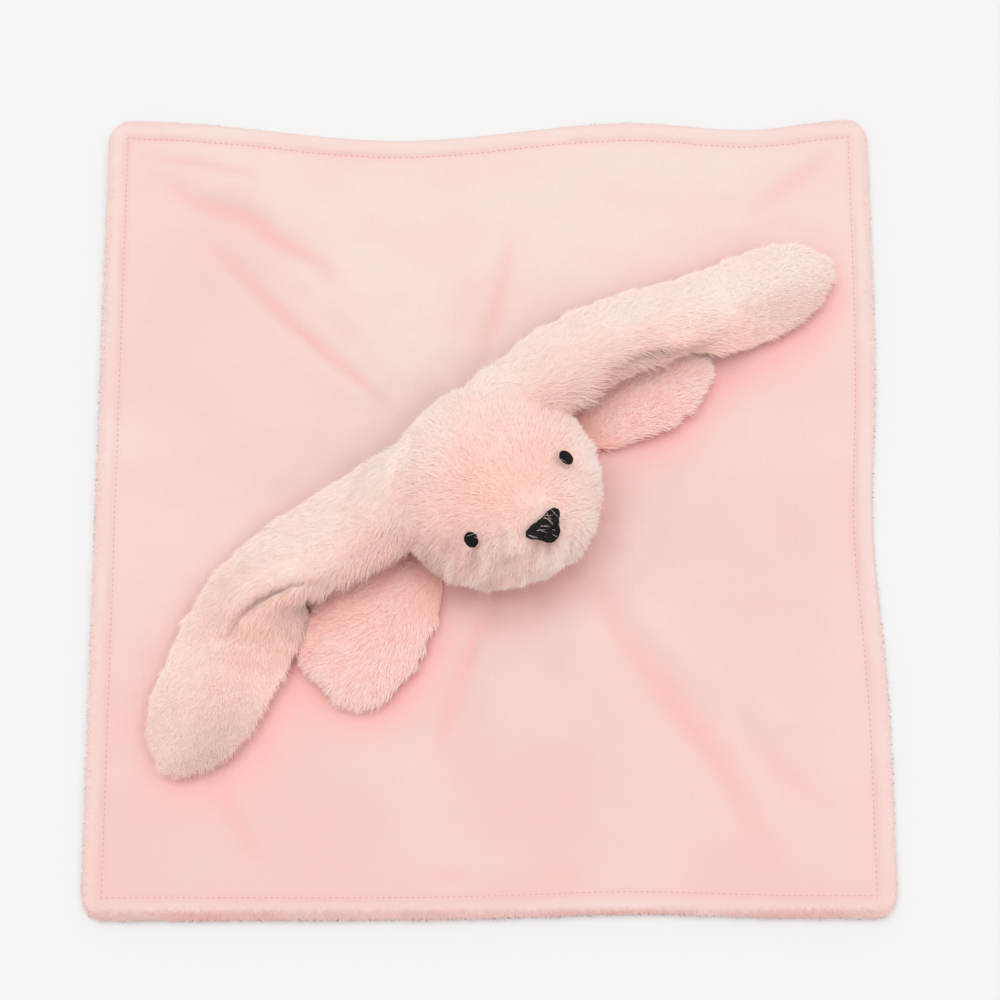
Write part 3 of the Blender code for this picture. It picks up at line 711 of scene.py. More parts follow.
def upper_heights(x, y, inset, looks):
    """The upper cloth's face, with its border, groove and folds, and its depth in their valleys."""
    roll = 1 - np.minimum(inset, BORDER_ROLL) / BORDER_ROLL
    border = SEAM_LEVEL + (BORDER_TOP - SEAM_LEVEL) * np.sqrt(1 - roll**2)
    inner = smooth(0.0055, 0.0120, inset)
    level = border * (1 - inner) + FIELD_TOP * inner
    groove = looks.groove_depth * bell(inset - looks.hem_width, GROOVE_REACH)
    pucker = 1 + 0.8 * value_noise(x, y, 0.006, 5)
    waves = 0.0005 * value_noise(x, y, 0.034, 1) + 0.00035 * value_noise(x, y, 0.015, 2)
    border_waves = 0.0005 * value_noise(x, y, 0.009, 3) * smooth(0.001, 0.004, inset)
    folds, valley = fold_lift(x, y)
    neck = from_neck(x, y)
    free = smooth(0.008, 0.020, inset) * smooth(0.026, 0.040, neck)
    level = level - groove * pucker + border_waves
    level = level + free * (folds + waves) + gather_ripples(x, y, neck)
    level = np.maximum(level, np.where(inset < BORDER_ROLL, SEAM_LEVEL, LOWEST_TOP))
    return level, valley * free


def sheet_piece(name, x, y, z, fields, offset, material, node):
    """A closed sheet with the cloth's thickness over a grid of points, as a dressed piece."""
    rows, columns = x.shape
    index = np.arange(rows * columns).reshape(rows, columns)
    corners = [index[:-1, :-1], index[1:, :-1], index[1:, 1:], index[:-1, 1:]]
    faces = np.stack(corners, axis=-1).reshape(-1, 4)
    points = np.stack([x.ravel(), y.ravel(), z.ravel()], axis=1)
    mesh = bpy.data.meshes.new(name)
    mesh.from_pydata(points.tolist(), [], faces.tolist())
    for field, values in fields.items():
        write_attribute(mesh, field, values.ravel())
    cloth = new_object(name, mesh)
    modifier = cloth.modifiers.new("thickness", "SOLIDIFY")
    modifier.thickness = CLOTH_WALL
    modifier.offset = offset
    mesh = evaluated_mesh(cloth)
    turned = bmesh.new()
    turned.from_mesh(mesh)
    bmesh.ops.recalc_face_normals(turned, faces=turned.faces)
    cloth.modifiers.clear()
    cloth.data = kept_mesh(turned, mesh)
    dress(cloth, material, node)
    return cloth


def rabbit_nodes(starts):
    """The frame's nodes whose names start with one of these."""
    return [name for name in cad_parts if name.startswith(starts)]


def rabbit_caps(x, y):
    """The level below which the cloth stays at each place, where something lies on it."""
    tree = surface_tree(rabbit_nodes(("ear_", "arm_", "head_")))
    caps = np.full(x.size, CAP_FREE)
    up = Vector((0, 0, 1))
    for index, (px, py) in enumerate(zip(x.ravel(), y.ravel())):
        hit = tree.ray_cast(Vector((px, py, -PROBE_DEPTH)), up)[0]
        if hit is not None:
            caps[index] = hit.z - CAP_GAP
    return caps.reshape(x.shape)


def brushed_and_lit_share(x, y, inset):
    """Where the velour was brushed the other way and shows pinker, in broad soft areas, with
    painted light that makes it paler towards the top and on the rolled edge.
    """
    # Painted light: paler towards the top, where the light comes from
    share = 0.48 - y / 0.42
    for px, py, radius, amount in BRUSHED_AREAS:
        share = share + amount * bell(np.hypot(x - px, y - py), radius)
    share = share + 0.24 * value_noise(x, y, 0.045, 8) + 0.16 * value_noise(x, y, 0.020, 9)
    # Painted light: paler on the rolled edge
    return np.clip(share, 0, 1) * (0.25 + 0.75 * smooth(0.001, 0.009, inset))


def make_upper_cloth(looks):
    """The upper velour panel, with its rolled border, stitched groove, folds and gathers."""
    x, y, inset = cloth_plan()
    z, valley = upper_heights(x, y, inset, looks)
    caps = rabbit_caps(x, y)
    z = z - blurred(np.maximum(z - caps, 0), 3)
    z = np.minimum(z, caps)
    covered = (caps < CAP_FREE).astype(float)
    neck = from_neck(x, y)
    away = smooth(*SHADE_NEAR, neck)
    # Painted shade: the velour is pinker in a soft band all round where the rabbit lies on it
    beside_shadow = blurred(covered, 4) ** 1.2 * (0.4 + 0.3 * away)
    # Painted shadow: the rabbit's shadow on the velour, pushed to the lower right
    shaded = blurred(np.roll(covered, (2, -4), axis=(0, 1)), 5) ** 1.2 * 1.9
    # Painted shadow: a tight contact shadow just to the lower right of the rabbit
    under = blurred(np.roll(covered, (1, -2), axis=(0, 1)), 3) ** 1.5 * 0.35
    # Painted shade down in the stitched groove, deeper towards the top left
    seam = bell(inset - looks.hem_width, GROOVE_REACH)
    seam = seam * (0.12 + 0.25 * smooth(0.06, 0.18, y - 0.3 * x))
    # One share of painted shade: fold valleys, the groove and round the rabbit
    crease_shade = valley * 0.75 + seam + beside_shadow + under * smooth(0.060, 0.085, neck)
    fields = {
        "shaded": np.clip(shaded * (0.35 + 0.65 * away), 0, 1),
        "crease_shade": np.clip(crease_shade, 0, 1),
        "brushed_and_lit": brushed_and_lit_share(x, y, inset),
    }
    node = "blanket_front_panel"
    cloth = sheet_piece("blanket_upper_cloth", x, y, z, fields, -1, "velour_upper", node)
    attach(cloth, "blanket")


def make_lower_cloth(looks):
    """The lower velour panel, whose edge curls up to the seam."""
    x, y, inset = cloth_plan()
    roll = 1 - np.minimum(inset, LOWER_ROLL) / LOWER_ROLL
    z = (SEAM_LEVEL - SEAM_GAP) * (1 - np.sqrt(1 - roll**2))
    z = z + LOWER_GROOVE_DEPTH * bell(inset - looks.hem_width, LOWER_GROOVE_REACH)
    # Painted shade down in the stitched groove of the lower panel
    seam = bell(inset - looks.hem_width, GROOVE_REACH)
    fields = {"crease_shade": seam * 0.3, "brushed_and_lit": np.full(x.shape, 0.5)}
    node = "blanket_back_panel"
    cloth = sheet_piece("blanket_lower_cloth", x, y, z, fields, 1, "velour_lower", node)
    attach(cloth, "blanket")


def surface_tree(nodes):
    """A search tree over copies of the frame's nodes."""
    points, faces = [], []
    for name in nodes:
        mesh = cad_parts[name].data
        start = len(points)
        points.extend(vertex.co.copy() for vertex in mesh.vertices)
        faces.extend([start + index for index in face.vertices] for face in mesh.polygons)
    return BVHTree.FromPolygons(points, faces)


def mesh_tree(mesh):
    """A search tree over one mesh."""
    points = [vertex.co.copy() for vertex in mesh.vertices]
    return BVHTree.FromPolygons(points, [tuple(face.vertices) for face in mesh.polygons])


def merged_nodes(name, nodes):
    """One mesh from copies of the frame's nodes, with their points merged."""
    made = bmesh.new()
    for node in nodes:
        made.from_mesh(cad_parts[node].data)
    bmesh.ops.remove_doubles(made, verts=made.verts, dist=0.001 * MM)
    return kept_mesh(made, bpy.data.meshes.new(name))


def outer_shell(mesh):
    """Keep the mesh's largest connected surface."""
    made = bmesh.new()
    made.from_mesh(mesh)
    left, shells = set(made.verts), []
    while left:
        shell, front = set(), [left.pop()]
        while front:
            vertex = front.pop()
            shell.add(vertex)
            for edge in vertex.link_edges:
                other = edge.other_vert(vertex)
                if other in left:
                    left.discard(other)
                    front.append(other)
        shells.append(shell)
    shells.sort(key=len)
    spare = [vertex for shell in shells[:-1] for vertex in shell]
    bmesh.ops.delete(made, geom=spare, context="VERTS")
    return kept_mesh(made, mesh)


def even_skin(name, nodes, voxel, shrink, rounds=6, roll=None):
    """An even, smooth skin around the nodes, and a root roll if given, drawn in by a depth."""
    mesh = merged_nodes(name, nodes)
    if roll is not None:
        made = bmesh.new()
        made.from_mesh(mesh)
        made.from_mesh(roll)
        kept_mesh(made, mesh)
    holder = new_object(name, mesh)
    remesh = holder.modifiers.new("even", "REMESH")
    remesh.mode = "VOXEL"
    remesh.voxel_size = voxel
    relax = holder.modifiers.new("relax", "SMOOTH")
    relax.factor = 0.5
    relax.iterations = rounds
    mesh = outer_shell(evaluated_mesh(holder))
    bpy.data.objects.remove(holder)
    points, normals = read_surface(mesh)
    move_points(mesh, points - normals * shrink)
    return mesh


def nearest_node(mesh, nodes):
    """For each face of the mesh, the node whose surface lies nearest."""
    trees = [surface_tree([name]) for name in nodes]
    best = []
    for face in mesh.polygons:
        reach = [tree.find_nearest(face.center)[3] for tree in trees]
        best.append(reach.index(min(reach)))
    return np.array(best)


def pile_tree():
    """Geometry nodes that grow pile from a skin: leaning ribbons, turned and shortened in tufts."""
    inputs = (
        ("Geometry", "Geometry", None),
        ("Density", "Float", 3.0e6),
        ("Length", "Float", 0.007),
        ("Width", "Float", 0.0004),
        ("Lean", "Float", 0.5),
        ("Tuft Size", "Float", 0.008),
        ("Tuft Turn", "Float", 0.6),
        ("Curl", "Float", 0.5),
        ("Seed", "Int", None),
        ("Material", "Material", None),
    )
    graph, given = new_tree("Pile", "GeometryNodeTree", inputs, ("Geometry", "Geometry"))
    density = graph.times(given["Density"], graph.named("density"))
    mesh = {"Mesh": given["Geometry"], "Density": density, "Seed": given["Seed"]}
    kind = "GeometryNodeDistributePointsOnFaces"
    spread = graph.add(kind, mesh, distribute_method="RANDOM").outputs
    place = graph.first("GeometryNodeInputPosition")
    scale = graph.math("DIVIDE", 1.0, given["Tuft Size"])
    tuft = graph.add("ShaderNodeTexNoise", {"Vector": place, "Scale": scale, "Detail": 1.0})
    tuft = graph.parts(tuft.outputs["Color"])
    chance = [pile_chance(graph, given["Seed"], index) for index in range(4)]
    turned = graph.times(graph.swing(tuft[0], given["Tuft Turn"]), 4.0)
    yaw = graph.plus(turned, graph.swing(chance[0], 0.5))
    pitch = graph.plus(given["Lean"], graph.swing(chance[1], 0.45))
    roll = graph.swing(chance[2], 0.9)
    about = graph.facing(spread["Normal"], graph.named("nap", "FLOAT_VECTOR"))
    for turn in (graph.vector(0.0, 0.0, yaw), graph.vector(roll, pitch, 0.0)):
        by = graph.first("FunctionNodeEulerToRotation", {"Euler": turn})
        turns = {"Rotation": about, "Rotate By": by}
        about = graph.first("FunctionNodeRotateRotation", turns, rotation_space="LOCAL")
    shorter = graph.spread(tuft[1], 0.3, 0.7, 0.80, 1.08)
    varied = graph.plus(0.72, graph.times(chance[3], 0.42))
    length = graph.times(given["Length"], graph.named("length"))
    length = graph.times(length, graph.times(shorter, varied))
    shade = graph.plus(graph.times(tuft[2], 0.5), graph.times(chance[2], 0.5))
    points = graph.store(spread["Points"], "shade", shade)
    points = graph.store(points, "skin_normal", spread["Normal"], "FLOAT_VECTOR")
    size = graph.vector(length, given["Width"], length)
    strand = pile_strand(graph, given["Curl"])
    graph.end_with_copies(points, strand, about, size, given["Material"])


def pile_chance(graph, seed, index):
    """A random share for each strand."""
    node = graph.add("FunctionNodeRandomValue", data_type="FLOAT")
    graph.feed(node.inputs["Seed"], graph.plus(seed, 17.0 * index))
    return next(socket for socket in node.outputs if socket.type == "VALUE" and socket.enabled)


def pile_strand(graph, curl):
    """One fibre in the tree: a tapered ribbon that rises and then bends along +X."""
    inputs = {"Size X": 1.0, "Size Y": 1.0, "Vertices X": 3, "Vertices Y": 2}
    grid = graph.add("GeometryNodeMeshGrid", inputs).outputs["Mesh"]
    parts = graph.parts(graph.first("GeometryNodeInputPosition"))
    along = graph.math("ADD", parts["X"], 0.5, clamp=True)
    kept = graph.store(grid, "along", along)
    squared = graph.times(along, along)
    bent = graph.times(squared, curl)
    forward = graph.plus(graph.times(along, 0.18), bent)
    height = graph.times(along, graph.math("SUBTRACT", 0.95, graph.times(bent, 0.55)))
    across = graph.times(parts["Y"], graph.math("SUBTRACT", 1.0, squared))
    moved = {"Geometry": kept, "Position": graph.vector(forward, across, height)}
    shaped = graph.first("GeometryNodeSetPosition", moved)
    return graph.first("GeometryNodeMergeByDistance", {"Geometry": shaped, "Distance": 0.001})


def applied_tree(holder, tree, values):
    """The mesh that a modifier's tree makes, with its inputs set by their identifiers."""
    modifier = holder.modifiers.new("nodes", "NODES")
    modifier.node_group = bpy.data.node_groups[tree]
    for item in modifier.node_group.interface.items_tree:
        if item.item_type == "SOCKET" and item.in_out == "INPUT" and item.name in values:
            modifier[item.identifier] = values[item.name]
    mesh = evaluated_mesh(holder)
    bpy.data.objects.remove(holder)
    return mesh


def weighted_area(mesh):
    """The skin's area, counted by the pile's density."""
    shares = np.empty(len(mesh.vertices))
    mesh.attributes["density"].data.foreach_get("value", shares)
    return sum(face.area * shares[list(face.vertices)].mean() for face in mesh.polygons)


def grow_pile(mesh, material, seed, strands, length, lean=None, tuft=0.007, width=None):
    """The pile of one skin as a plain mesh, shaded with the skin's normals, lifted to the sky."""
    looks = bpy.context.scene.plush_looks
    values = {
        "Density": strands / weighted_area(mesh),
        "Length": length,
        "Width": looks.pile_width if width is None else width,
        "Lean": looks.pile_lean if lean is None else lean,
        "Tuft Size": tuft,
        "Tuft Turn": looks.tuft_turn,
        "Curl": looks.pile_curl,
        "Seed": seed,
        "Material": bpy.data.materials[material],
    }
    grown = applied_tree(new_object("pile_holder", mesh.copy()), "Pile", values)
    skin = np.empty(len(grown.vertices) * 3)
    grown.attributes["skin_normal"].data.foreach_get("vector", skin)
    skin = skin.reshape(-1, 3)
    for name in ("skin_normal", "nap", "length", "density"):
        if name in grown.attributes:
            grown.attributes.remove(grown.attributes[name])
    own = read_points(grown, "normal")
    shade_with(grown, skin * 0.6 + own * 0.15 + skyward(skin))
    return grown


def skyward(normals):
    """The upward lift of a fibre's shading, which takes light from its sides as well."""
    up = normals[:, 2:]
    return smooth(-1.0, -0.85, up) * (0.75 + 0.40 * smooth(0.7, 0.0, up)) * np.array([0, 0, 1])


def shade_with(mesh, normals):
    """Shade a mesh smoothly with the given point normals."""
    mesh.shade_smooth()
    mesh.normals_split_custom_set_from_vertices(unit(normals).tolist())


def cut_patch(skin, name, keep, backing):
    """The kept faces of a skin as a panel's backing, shaded like the pile on it."""
    made = bmesh.new()
    made.from_mesh(skin)
    made.faces.ensure_lookup_table()
    spare = [made.faces[index] for index in np.flatnonzero(~keep)]
    bmesh.ops.delete(made, geom=spare, context="FACES")
    patch = kept_mesh(made, bpy.data.meshes.new(name))
    patch.materials.append(bpy.data.materials[backing])
    normals = read_points(patch, "normal")
    shade_with(patch, normals * 0.6 + skyward(normals))
    return patch


def join_meshes(name, meshes):
    """One piece from a skin and its pile, each with its own material."""
    objects = [new_object(f"{name}_{index}", mesh) for index, mesh in enumerate(meshes)]
    for obj in bpy.context.selected_objects:
        obj.select_set(False)
    for obj in objects:
        obj.select_set(True)
    joined = objects[0]
    bpy.context.view_layer.objects.active = joined
    with bpy.context.temp_override(
        active_object=joined, selected_editable_objects=objects, selected_objects=objects
    ):
        bpy.ops.object.join()
    joined.name = name
    joined.data.name = name
    return joined


def make_cover(skin, keep, node, name, part, pile):
    """One panel's backing with its pile, as a piece that stands for the panel."""
    patch = cut_patch(skin, name, keep, BACKINGS[part])
    meshes = [patch]
    if pile is not None:
        values = dict(pile)
        if values.pop("shared", False):
            values["strands"] *= weighted_area(patch) / weighted_area(skin)
        meshes.append(grow_pile(patch, f"plush_pile_{part}", **values))
    piece = join_meshes(name, meshes)
    stands_for(node)
    return piece


def make_filling(name, node, voxel, shrink, rounds, body):
    """The stuffing inside a part's covers, as a piece."""
    core = new_object(name, even_skin(name, [node], voxel, shrink, rounds))
    dress(core, "stuffing_fibre", node)
    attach(core, body)


def along_line(points, line):
    """Headings beside each point, its offset to their left, its share of the run and its offset."""
    path, heading = smooth_line(line, 60)
    nearest, way, offset, side = beside_line(points[:, :2], path, heading)
    return way, side, nearest / (len(path) - 1), offset


def tangent(directions, normals):
    """The directions laid in each point's tangent plane."""
    flat = directions - normals * (directions * normals).sum(1, keepdims=True)
    return unit(flat + normals * 1e-6)


def head_nap(points, normals):
    """Pile on the head runs away from the nose, over the brow and down the cheeks."""
    local = rows_to_rabbit(points)
    flat = np.zeros(len(local))
    nose = unit(np.stack([local[:, 0] * 1.25, local[:, 1] - NOSE_LEVEL, flat], axis=1))
    out = np.stack([local[:, 0], local[:, 1], flat], axis=1) / HEAD_RADIUS
    bridge = over_nose(local)[:, None]
    way = (nose + out * 0.7 + np.array([0.0, 0.0, -0.6])) * (1 - bridge) - nose * 1.3 * bridge
    way = way + bridge * (1 - bridge) * 2 * np.array([-1.2, 0.3, 0.0])
    hanging = cheek_share(points)[:, None] * np.array([0.0, -1.2, 0.0])
    return tangent(turned_to_row(way) + hanging, normals)


def cheek_share(points):
    """1 on the head's lower cheek and chin, whose pile hangs down towards the blanket's front."""
    return smooth(-0.012, -0.030, points[:, 1] - RABBIT_PLACE.y)


def limb_nap(points, normals, line, half_width, spread_up, spread_down, upper_side):
    """Pile on an ear or arm runs out to its tip and spreads to its two edges."""
    way, side, _, _ = along_line(rows_to_rabbit(points), line)
    across = np.stack([-way[:, 1], way[:, 0]], axis=1)
    offset = np.clip(side / half_width, -1.2, 1.2)
    push = np.where(offset * upper_side > 0, spread_up, spread_down) * offset
    flow = way + across * push[:, None]
    flow = np.concatenate([flow, np.full((len(flow), 1), -0.15)], axis=1)
    return tangent(turned_to_row(flow), normals)


def pile_fields(mesh, **fields):
    """Write the skin's nap, pile length, pile density and any tones for the pile's tree."""
    for name, values in fields.items():
        write_attribute(mesh, name, values)


def over_nose(local):
    """1 on the bridge, whose pile falls over the nose's upper rim."""
    return smooth(0.0060, 0.0010, face_clearance(local)[1]) * smooth(-0.029, -0.025, local[:, 1])


def face_clearance(local):
    """How far each point is in plan from the nearest eye's edge, and from the nose's edge."""
    reach = np.full(len(local), 1.0)
    for x, y in EYE_PLACES.values():
        reach = np.minimum(reach, np.hypot(local[:, 0] - x, local[:, 1] - y) - EYE_HALF)
    return reach, np.hypot(local[:, 0] / NOSE_STRETCH, local[:, 1] - NOSE_LEVEL) - NOSE_HALF


def head_fields(points, normals):
    """The head's nap, with its pile's length, density and tones."""
    local = rows_to_rabbit(points)
    x, y = local[:, 0], local[:, 1]
    eyes, nose = face_clearance(local)
    facing = normals[:, 2] > -0.2
    near_eyes = np.where(facing, smooth(-0.0008, 0.0050, eyes), 1)
    near_nose = np.where(facing, smooth(-0.0008, 0.0060, nose), 1)
    length = np.minimum(0.58 + 0.42 * near_eyes, 0.34 + 0.66 * near_nose)
    length = np.where(facing, np.maximum(length, 0.95 * over_nose(local)), length)
    density = np.where(facing & (np.minimum(eyes, nose) < -0.0004), 0.0, 1.0)
    under = smooth(0.004, 0.016, points[:, 2])
    brow = bell(x + 0.004, 0.024) * bell(y + 0.006, 0.017)
    # Painted light: the crown, towards the light, is given paler fibres
    lit_crown = smooth(0.008, 0.034, y)
    # Painted shade: the lower cheeks and chin are pinker and darker, over their own streaks
    below = cheek_share(points)
    streaks = value_noise(points[:, 0], points[:, 1] * 0.22, 0.0015, 15)
    chin = bell(x + 0.007, 0.008) * smooth(-0.033, -0.037, y)
    # Painted light: the head's right side, which lies in shade, is given paler fibres
    lit_side = smooth(0.022, 0.040, x * 0.75 - y * 0.66)
    tone = 0.30 + 0.75 * brow - 0.35 * lit_crown + 0.25 * value_noise(x, y, 0.009, 12)
    tone = tone + 0.6 * streaks * below - chin - 0.3 * lit_side
    return {
        "nap": head_nap(points, normals),
        "length": length * (0.45 + 0.55 * under),
        "density": density * (0.25 + 0.75 * under),
        "tone": np.clip(tone, 0, 1),
        "dusk": np.clip(0.12 + 0.45 * streaks, 0, 1) * below * (1 - lit_side) * (1 - chin),
    }


def make_head(looks):
    """The head's covers with their pile, and the stuffing inside them."""
    panels = {
        "head_left_cheek_panel": "head_left_cheek_plush",
        "head_centre_gusset": "head_gusset_plush",
        "head_right_cheek_panel": "head_right_cheek_plush",
        "head_base_panel": "head_base_cloth",
    }
    skin = even_skin("head_skin", [*panels, "head_stuffing"], HEAD_VOXEL, looks.pile_depth)
    pile_fields(skin, **head_fields(*read_surface(skin)))
    best = nearest_node(skin, list(panels))
    length = looks.pile_length * 0.94
    for index, (node, name) in enumerate(panels.items()):
        pile = {"seed": 11 + index, "strands": looks.head_strands, "length": length}
        if node == "head_base_panel":
            pile = None
        piece = make_cover(skin, best == index, node, name, "head", pile)
        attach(piece, "head")
    make_filling("head_filling", "head_stuffing", 0.0025, 0.0012, 6, "head")


def ear_root(side):
    """The ear's gathered base: one rounded form round the head's rim and the ear's start."""
    first, last = ROOT_TURNS[side]
    points = []
    for ring in range(ROOT_RINGS):
        share = (ring + 0.5) / ROOT_RINGS
        turn = math.radians(first + (last - first) * share)
        radius = ROOT_RADIUS * math.sin(math.pi * share) ** 0.45
        out = Vector((math.cos(turn), math.sin(turn), 0))
        for sector in range(ROOT_SECTORS):
            about = math.tau * sector / ROOT_SECTORS
            place = out * (ROOT_REACH + radius * 1.2 * math.cos(about))
            place.z = ROOT_LEVEL + radius * math.sin(about)
            points.append(rabbit_to_row(place))
    panel = read_points(merged_nodes("ear_start", [f"ear_{side}_outer_panel"]))
    near = (np.abs(rows_to_rabbit(panel)[:, 0]) < ROOT_START) & (panel[:, 2] > ROOT_FLOOR)
    made = bmesh.new()
    for place in points + [Vector(place) for place in panel[near]]:
        made.verts.new(place)
    hull = bmesh.ops.convex_hull(made, input=made.verts)
    spare = {item for item in hull["geom_interior"] if isinstance(item, bmesh.types.BMVert)}
    bmesh.ops.delete(made, geom=list(spare), context="VERTS")
    bmesh.ops.recalc_face_normals(made, faces=made.faces)
    return kept_mesh(made, bpy.data.meshes.new("ear_root"))


def open_share(skin, depth, reach, others):
    """1 where the pile has room over the skin, and less where another part lies close on it."""
    tree = surface_tree(rabbit_nodes(others) + ["blanket_front_panel"])
    points, normals = read_surface(skin)
    share = np.ones(len(points))
    for index, (point, normal) in enumerate(zip(points, normals)):
        way = Vector(normal)
        distance = tree.ray_cast(Vector(point) + way * (depth + PILE_START), way, reach)[3]
        if distance is not None:
            share[index] = distance / reach
    return share


def soften_top(skin):
    """Even out the ridges of the skin's upper side, and leave its outline as it is."""
    points, normals = read_surface(skin)
    low = points[:, :2].min(axis=0) - SOFT_REACH * SOFT_CELL
    cells = np.floor((points[:, :2] - low) / SOFT_CELL).astype(int)
    size = cells.max(axis=0) + 2 + SOFT_REACH
    total, count = np.zeros(size), np.zeros(size)
    upward = normals[:, 2] > 0.3
    np.add.at(total, tuple(cells[upward].T), points[upward, 2])
    np.add.at(count, tuple(cells[upward].T), 1.0)
    level = blurred(total, SOFT_REACH) / np.maximum(blurred(count, SOFT_REACH), 1e-6)
    cover = blurred((count > 0).astype(float), SOFT_REACH)[tuple(cells.T)]
    share = smooth(0.60, 0.98, normals[:, 2]) * smooth(0.60, 0.95, cover)
    points[:, 2] += np.clip(level[tuple(cells.T)] - points[:, 2], *SOFT_RANGE) * share
    move_points(skin, points)


def raise_folds(skin, side):
    """Raise the lip of each fold in the ear, and give each point's share of the crease under it."""
    points, normals = read_surface(skin)
    local = rows_to_rabbit(points)
    facing = smooth(0.1, 0.5, normals[:, 2])
    total = np.zeros(len(points))
    for line, height, width in EAR_FOLDS[side]:
        _, sides, share, offset = along_line(local, line)
        sides = sides * UPPER_SIDES[side]
        ends = np.sin(np.pi * np.clip(share, 0.02, 0.98)) ** 0.5
        ended = (share <= 0) | (share >= 1)
        past = np.where(ended, np.linalg.norm(offset, axis=1), np.abs(sides))
        lip = np.where(sides > 0, bell(past, width * MM), bell(past, LIP_DROP))
        points[:, 2] += ends * lip * facing * height * MM
        under = bell(sides + CREASE_OFFSET, CREASE_REACH) * np.where(ended, 0, ends)
        total = np.maximum(total, under * facing * min(height / DEEP_CREASE, 1))
    move_points(skin, points)
    return total


def reach_to_arm(skin):
    """Let the left ear's lower leaf lie out against the arm beside it."""
    points = read_points(skin)
    apart = np.hypot(points[:, 0] - LEAF_PLACE[0], points[:, 1] - LEAF_PLACE[1])
    points[:, 0] += LEAF_REACH * bell(apart, LEAF_RADIUS)
    move_points(skin, points)


def ear_fields(skin, side, crease_shade):
    """The ear's nap, with its pile's length, density and tones."""
    points, normals = read_surface(skin)
    local = rows_to_rabbit(points)
    _, sides, run, _ = along_line(local, EAR_LINES[side])
    rise = sides * UPPER_SIDES[side] / EAR_HALF_WIDTH
    left = side == "left"
    under = smooth(-0.85, -0.3, normals[:, 2])
    free = open_share(skin, EAR_DEPTH, EAR_ROOM, ("arm_",))
    # Painted shade: the ear's lower side, away from the light, is given pinker fibres
    shaded_side = smooth(-0.2, 0.7, -rise)
    # The lower edge over the arm: longer fibres, and darker ones as painted shade
    fringe = smooth(0.1, 0.8, -rise) * smooth(0.60, 0.50, run)
    length = (0.55 + 0.45 * under) * (0.75 + 0.25 * free) * (1 - 0.5 * crease_shade) * (1 + 0.5 * fringe)
    # A darker tip: partly its own colour, and painted shade that is deeper on its lower side
    tip = smooth(0.70, 0.98, run) * (0.15 + 0.35 * shaded_side) * (1.0 if left else 0.5)
    leaf = smooth(0.38, 0.58, run) * smooth(1.0, 0.4, rise)
    leaf = (0.65 if left else 0.0) * np.maximum(leaf, smooth(0.80, 0.95, run))
    patches = 0.18 * value_noise(local[:, 0], local[:, 1], 0.011, 13) * smooth(0.7, 0.1, rise)
    widths = (EAR_HALF_WIDTH, 0.30, 0.85, UPPER_SIDES[side])
    # Tones: the left ear's pinker lower leaf and tip, random patches, and painted shade on the
    # lower side and in the crease
    return {
        "nap": limb_nap(points, normals, EAR_LINES[side], *widths),
        "length": length * (1 - 0.25 * smooth(0.55, 0.80, run)),
        "density": 0.22 + 0.78 * under,
        "tone": np.clip(leaf + 0.95 * shaded_side + 0.9 * crease_shade + patches, 0, 1),
        "dusk": np.clip(0.55 * crease_shade**2 + 0.18 * fringe**3 + tip, 0, 1),
    }


def make_ear(side, looks):
    """One ear: its outer and its lining panel, folded together."""
    panels = [f"ear_{side}_outer_panel", f"ear_{side}_inner_panel"]
    skin = even_skin(f"ear_{side}_skin", panels, EAR_VOXEL, EAR_DEPTH, roll=ear_root(side))
    soften_top(skin)
    # The crease share shortens the pile and paints shade into its colour
    crease_shade = raise_folds(skin, side)
    if side == "left":
        reach_to_arm(skin)
    pile_fields(skin, **ear_fields(skin, side, crease_shade))
    best = nearest_node(skin, panels)
    pile = {"strands": looks.ear_strands, "length": looks.pile_length * 0.95, "shared": True}
    for index, node in enumerate(panels):
        name = node.replace("panel", "plush")
        pile["seed"] = 31 + index
        piece = make_cover(skin, best == index, node, name, "ear", pile)
        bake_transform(piece)


def fill_out_arm(skin, side):
    """Let the arm's upper edge reach in under the ear over it, and its lower edge bulge."""
    middle, upper, lower = ARM_BULGES[side]
    local = rows_to_rabbit(read_points(skin))
    past = local[:, 1] - middle
    local[:, 1] += np.where(past > 0, past * upper, past * lower)
    move_points(skin, turned_to_row(local) + np.array(RABBIT_PLACE))


def make_arm(side, looks):
    """One arm: its two plush panels and the stuffing inside them."""
    panels = [f"arm_{side}_top_panel", f"arm_{side}_under_panel"]
    stuffing = f"arm_{side}_stuffing"
    skin = even_skin(f"arm_{side}_skin", [*panels, stuffing], ARM_VOXEL, ARM_DEPTH)
    free = open_share(skin, ARM_DEPTH, ARM_ROOM, ("ear_", "head_"))
    fill_out_arm(skin, side)
    points, normals = read_surface(skin)
    under = smooth(-0.85, -0.3, normals[:, 2])
    x, y = rows_to_rabbit(points)[:, :2].T
    # Painted shadow: deep salmon fibres where the ear and the head lie over the arm
    under_ear_shadow = np.maximum(smooth(-0.009, 0.006, y), smooth(0.060, 0.042, np.abs(x)))
    tone = 0.02 + 0.55 * under_ear_shadow + 0.15 * value_noise(x, y, 0.010, 14)
    widths = (ARM_HALF_WIDTH, 0.55, 0.75, UPPER_SIDES[side])
    pile_fields(
        skin,
        nap=limb_nap(points, normals, ARM_LINES[side], *widths),
        length=(0.45 + 0.55 * under) * (0.5 + 0.5 * free),
        density=0.25 + 0.75 * under,
        tone=np.clip(tone, 0, 1),
    )
    best = nearest_node(skin, panels)
    pile = {"strands": looks.arm_strands, "length": looks.pile_length, "shared": True}
    for index, node in enumerate(panels):
        name = node.replace("panel", "plush")
        pile.update(seed=51 + index, width=ARM_PILE_WIDTH)
        piece = make_cover(skin, best == index, node, name, "arm", pile)
        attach(piece, f"arm_{side}")
    make_filling(f"arm_{side}_filling", stuffing, 0.0016, 0.0010, 3, f"arm_{side}")


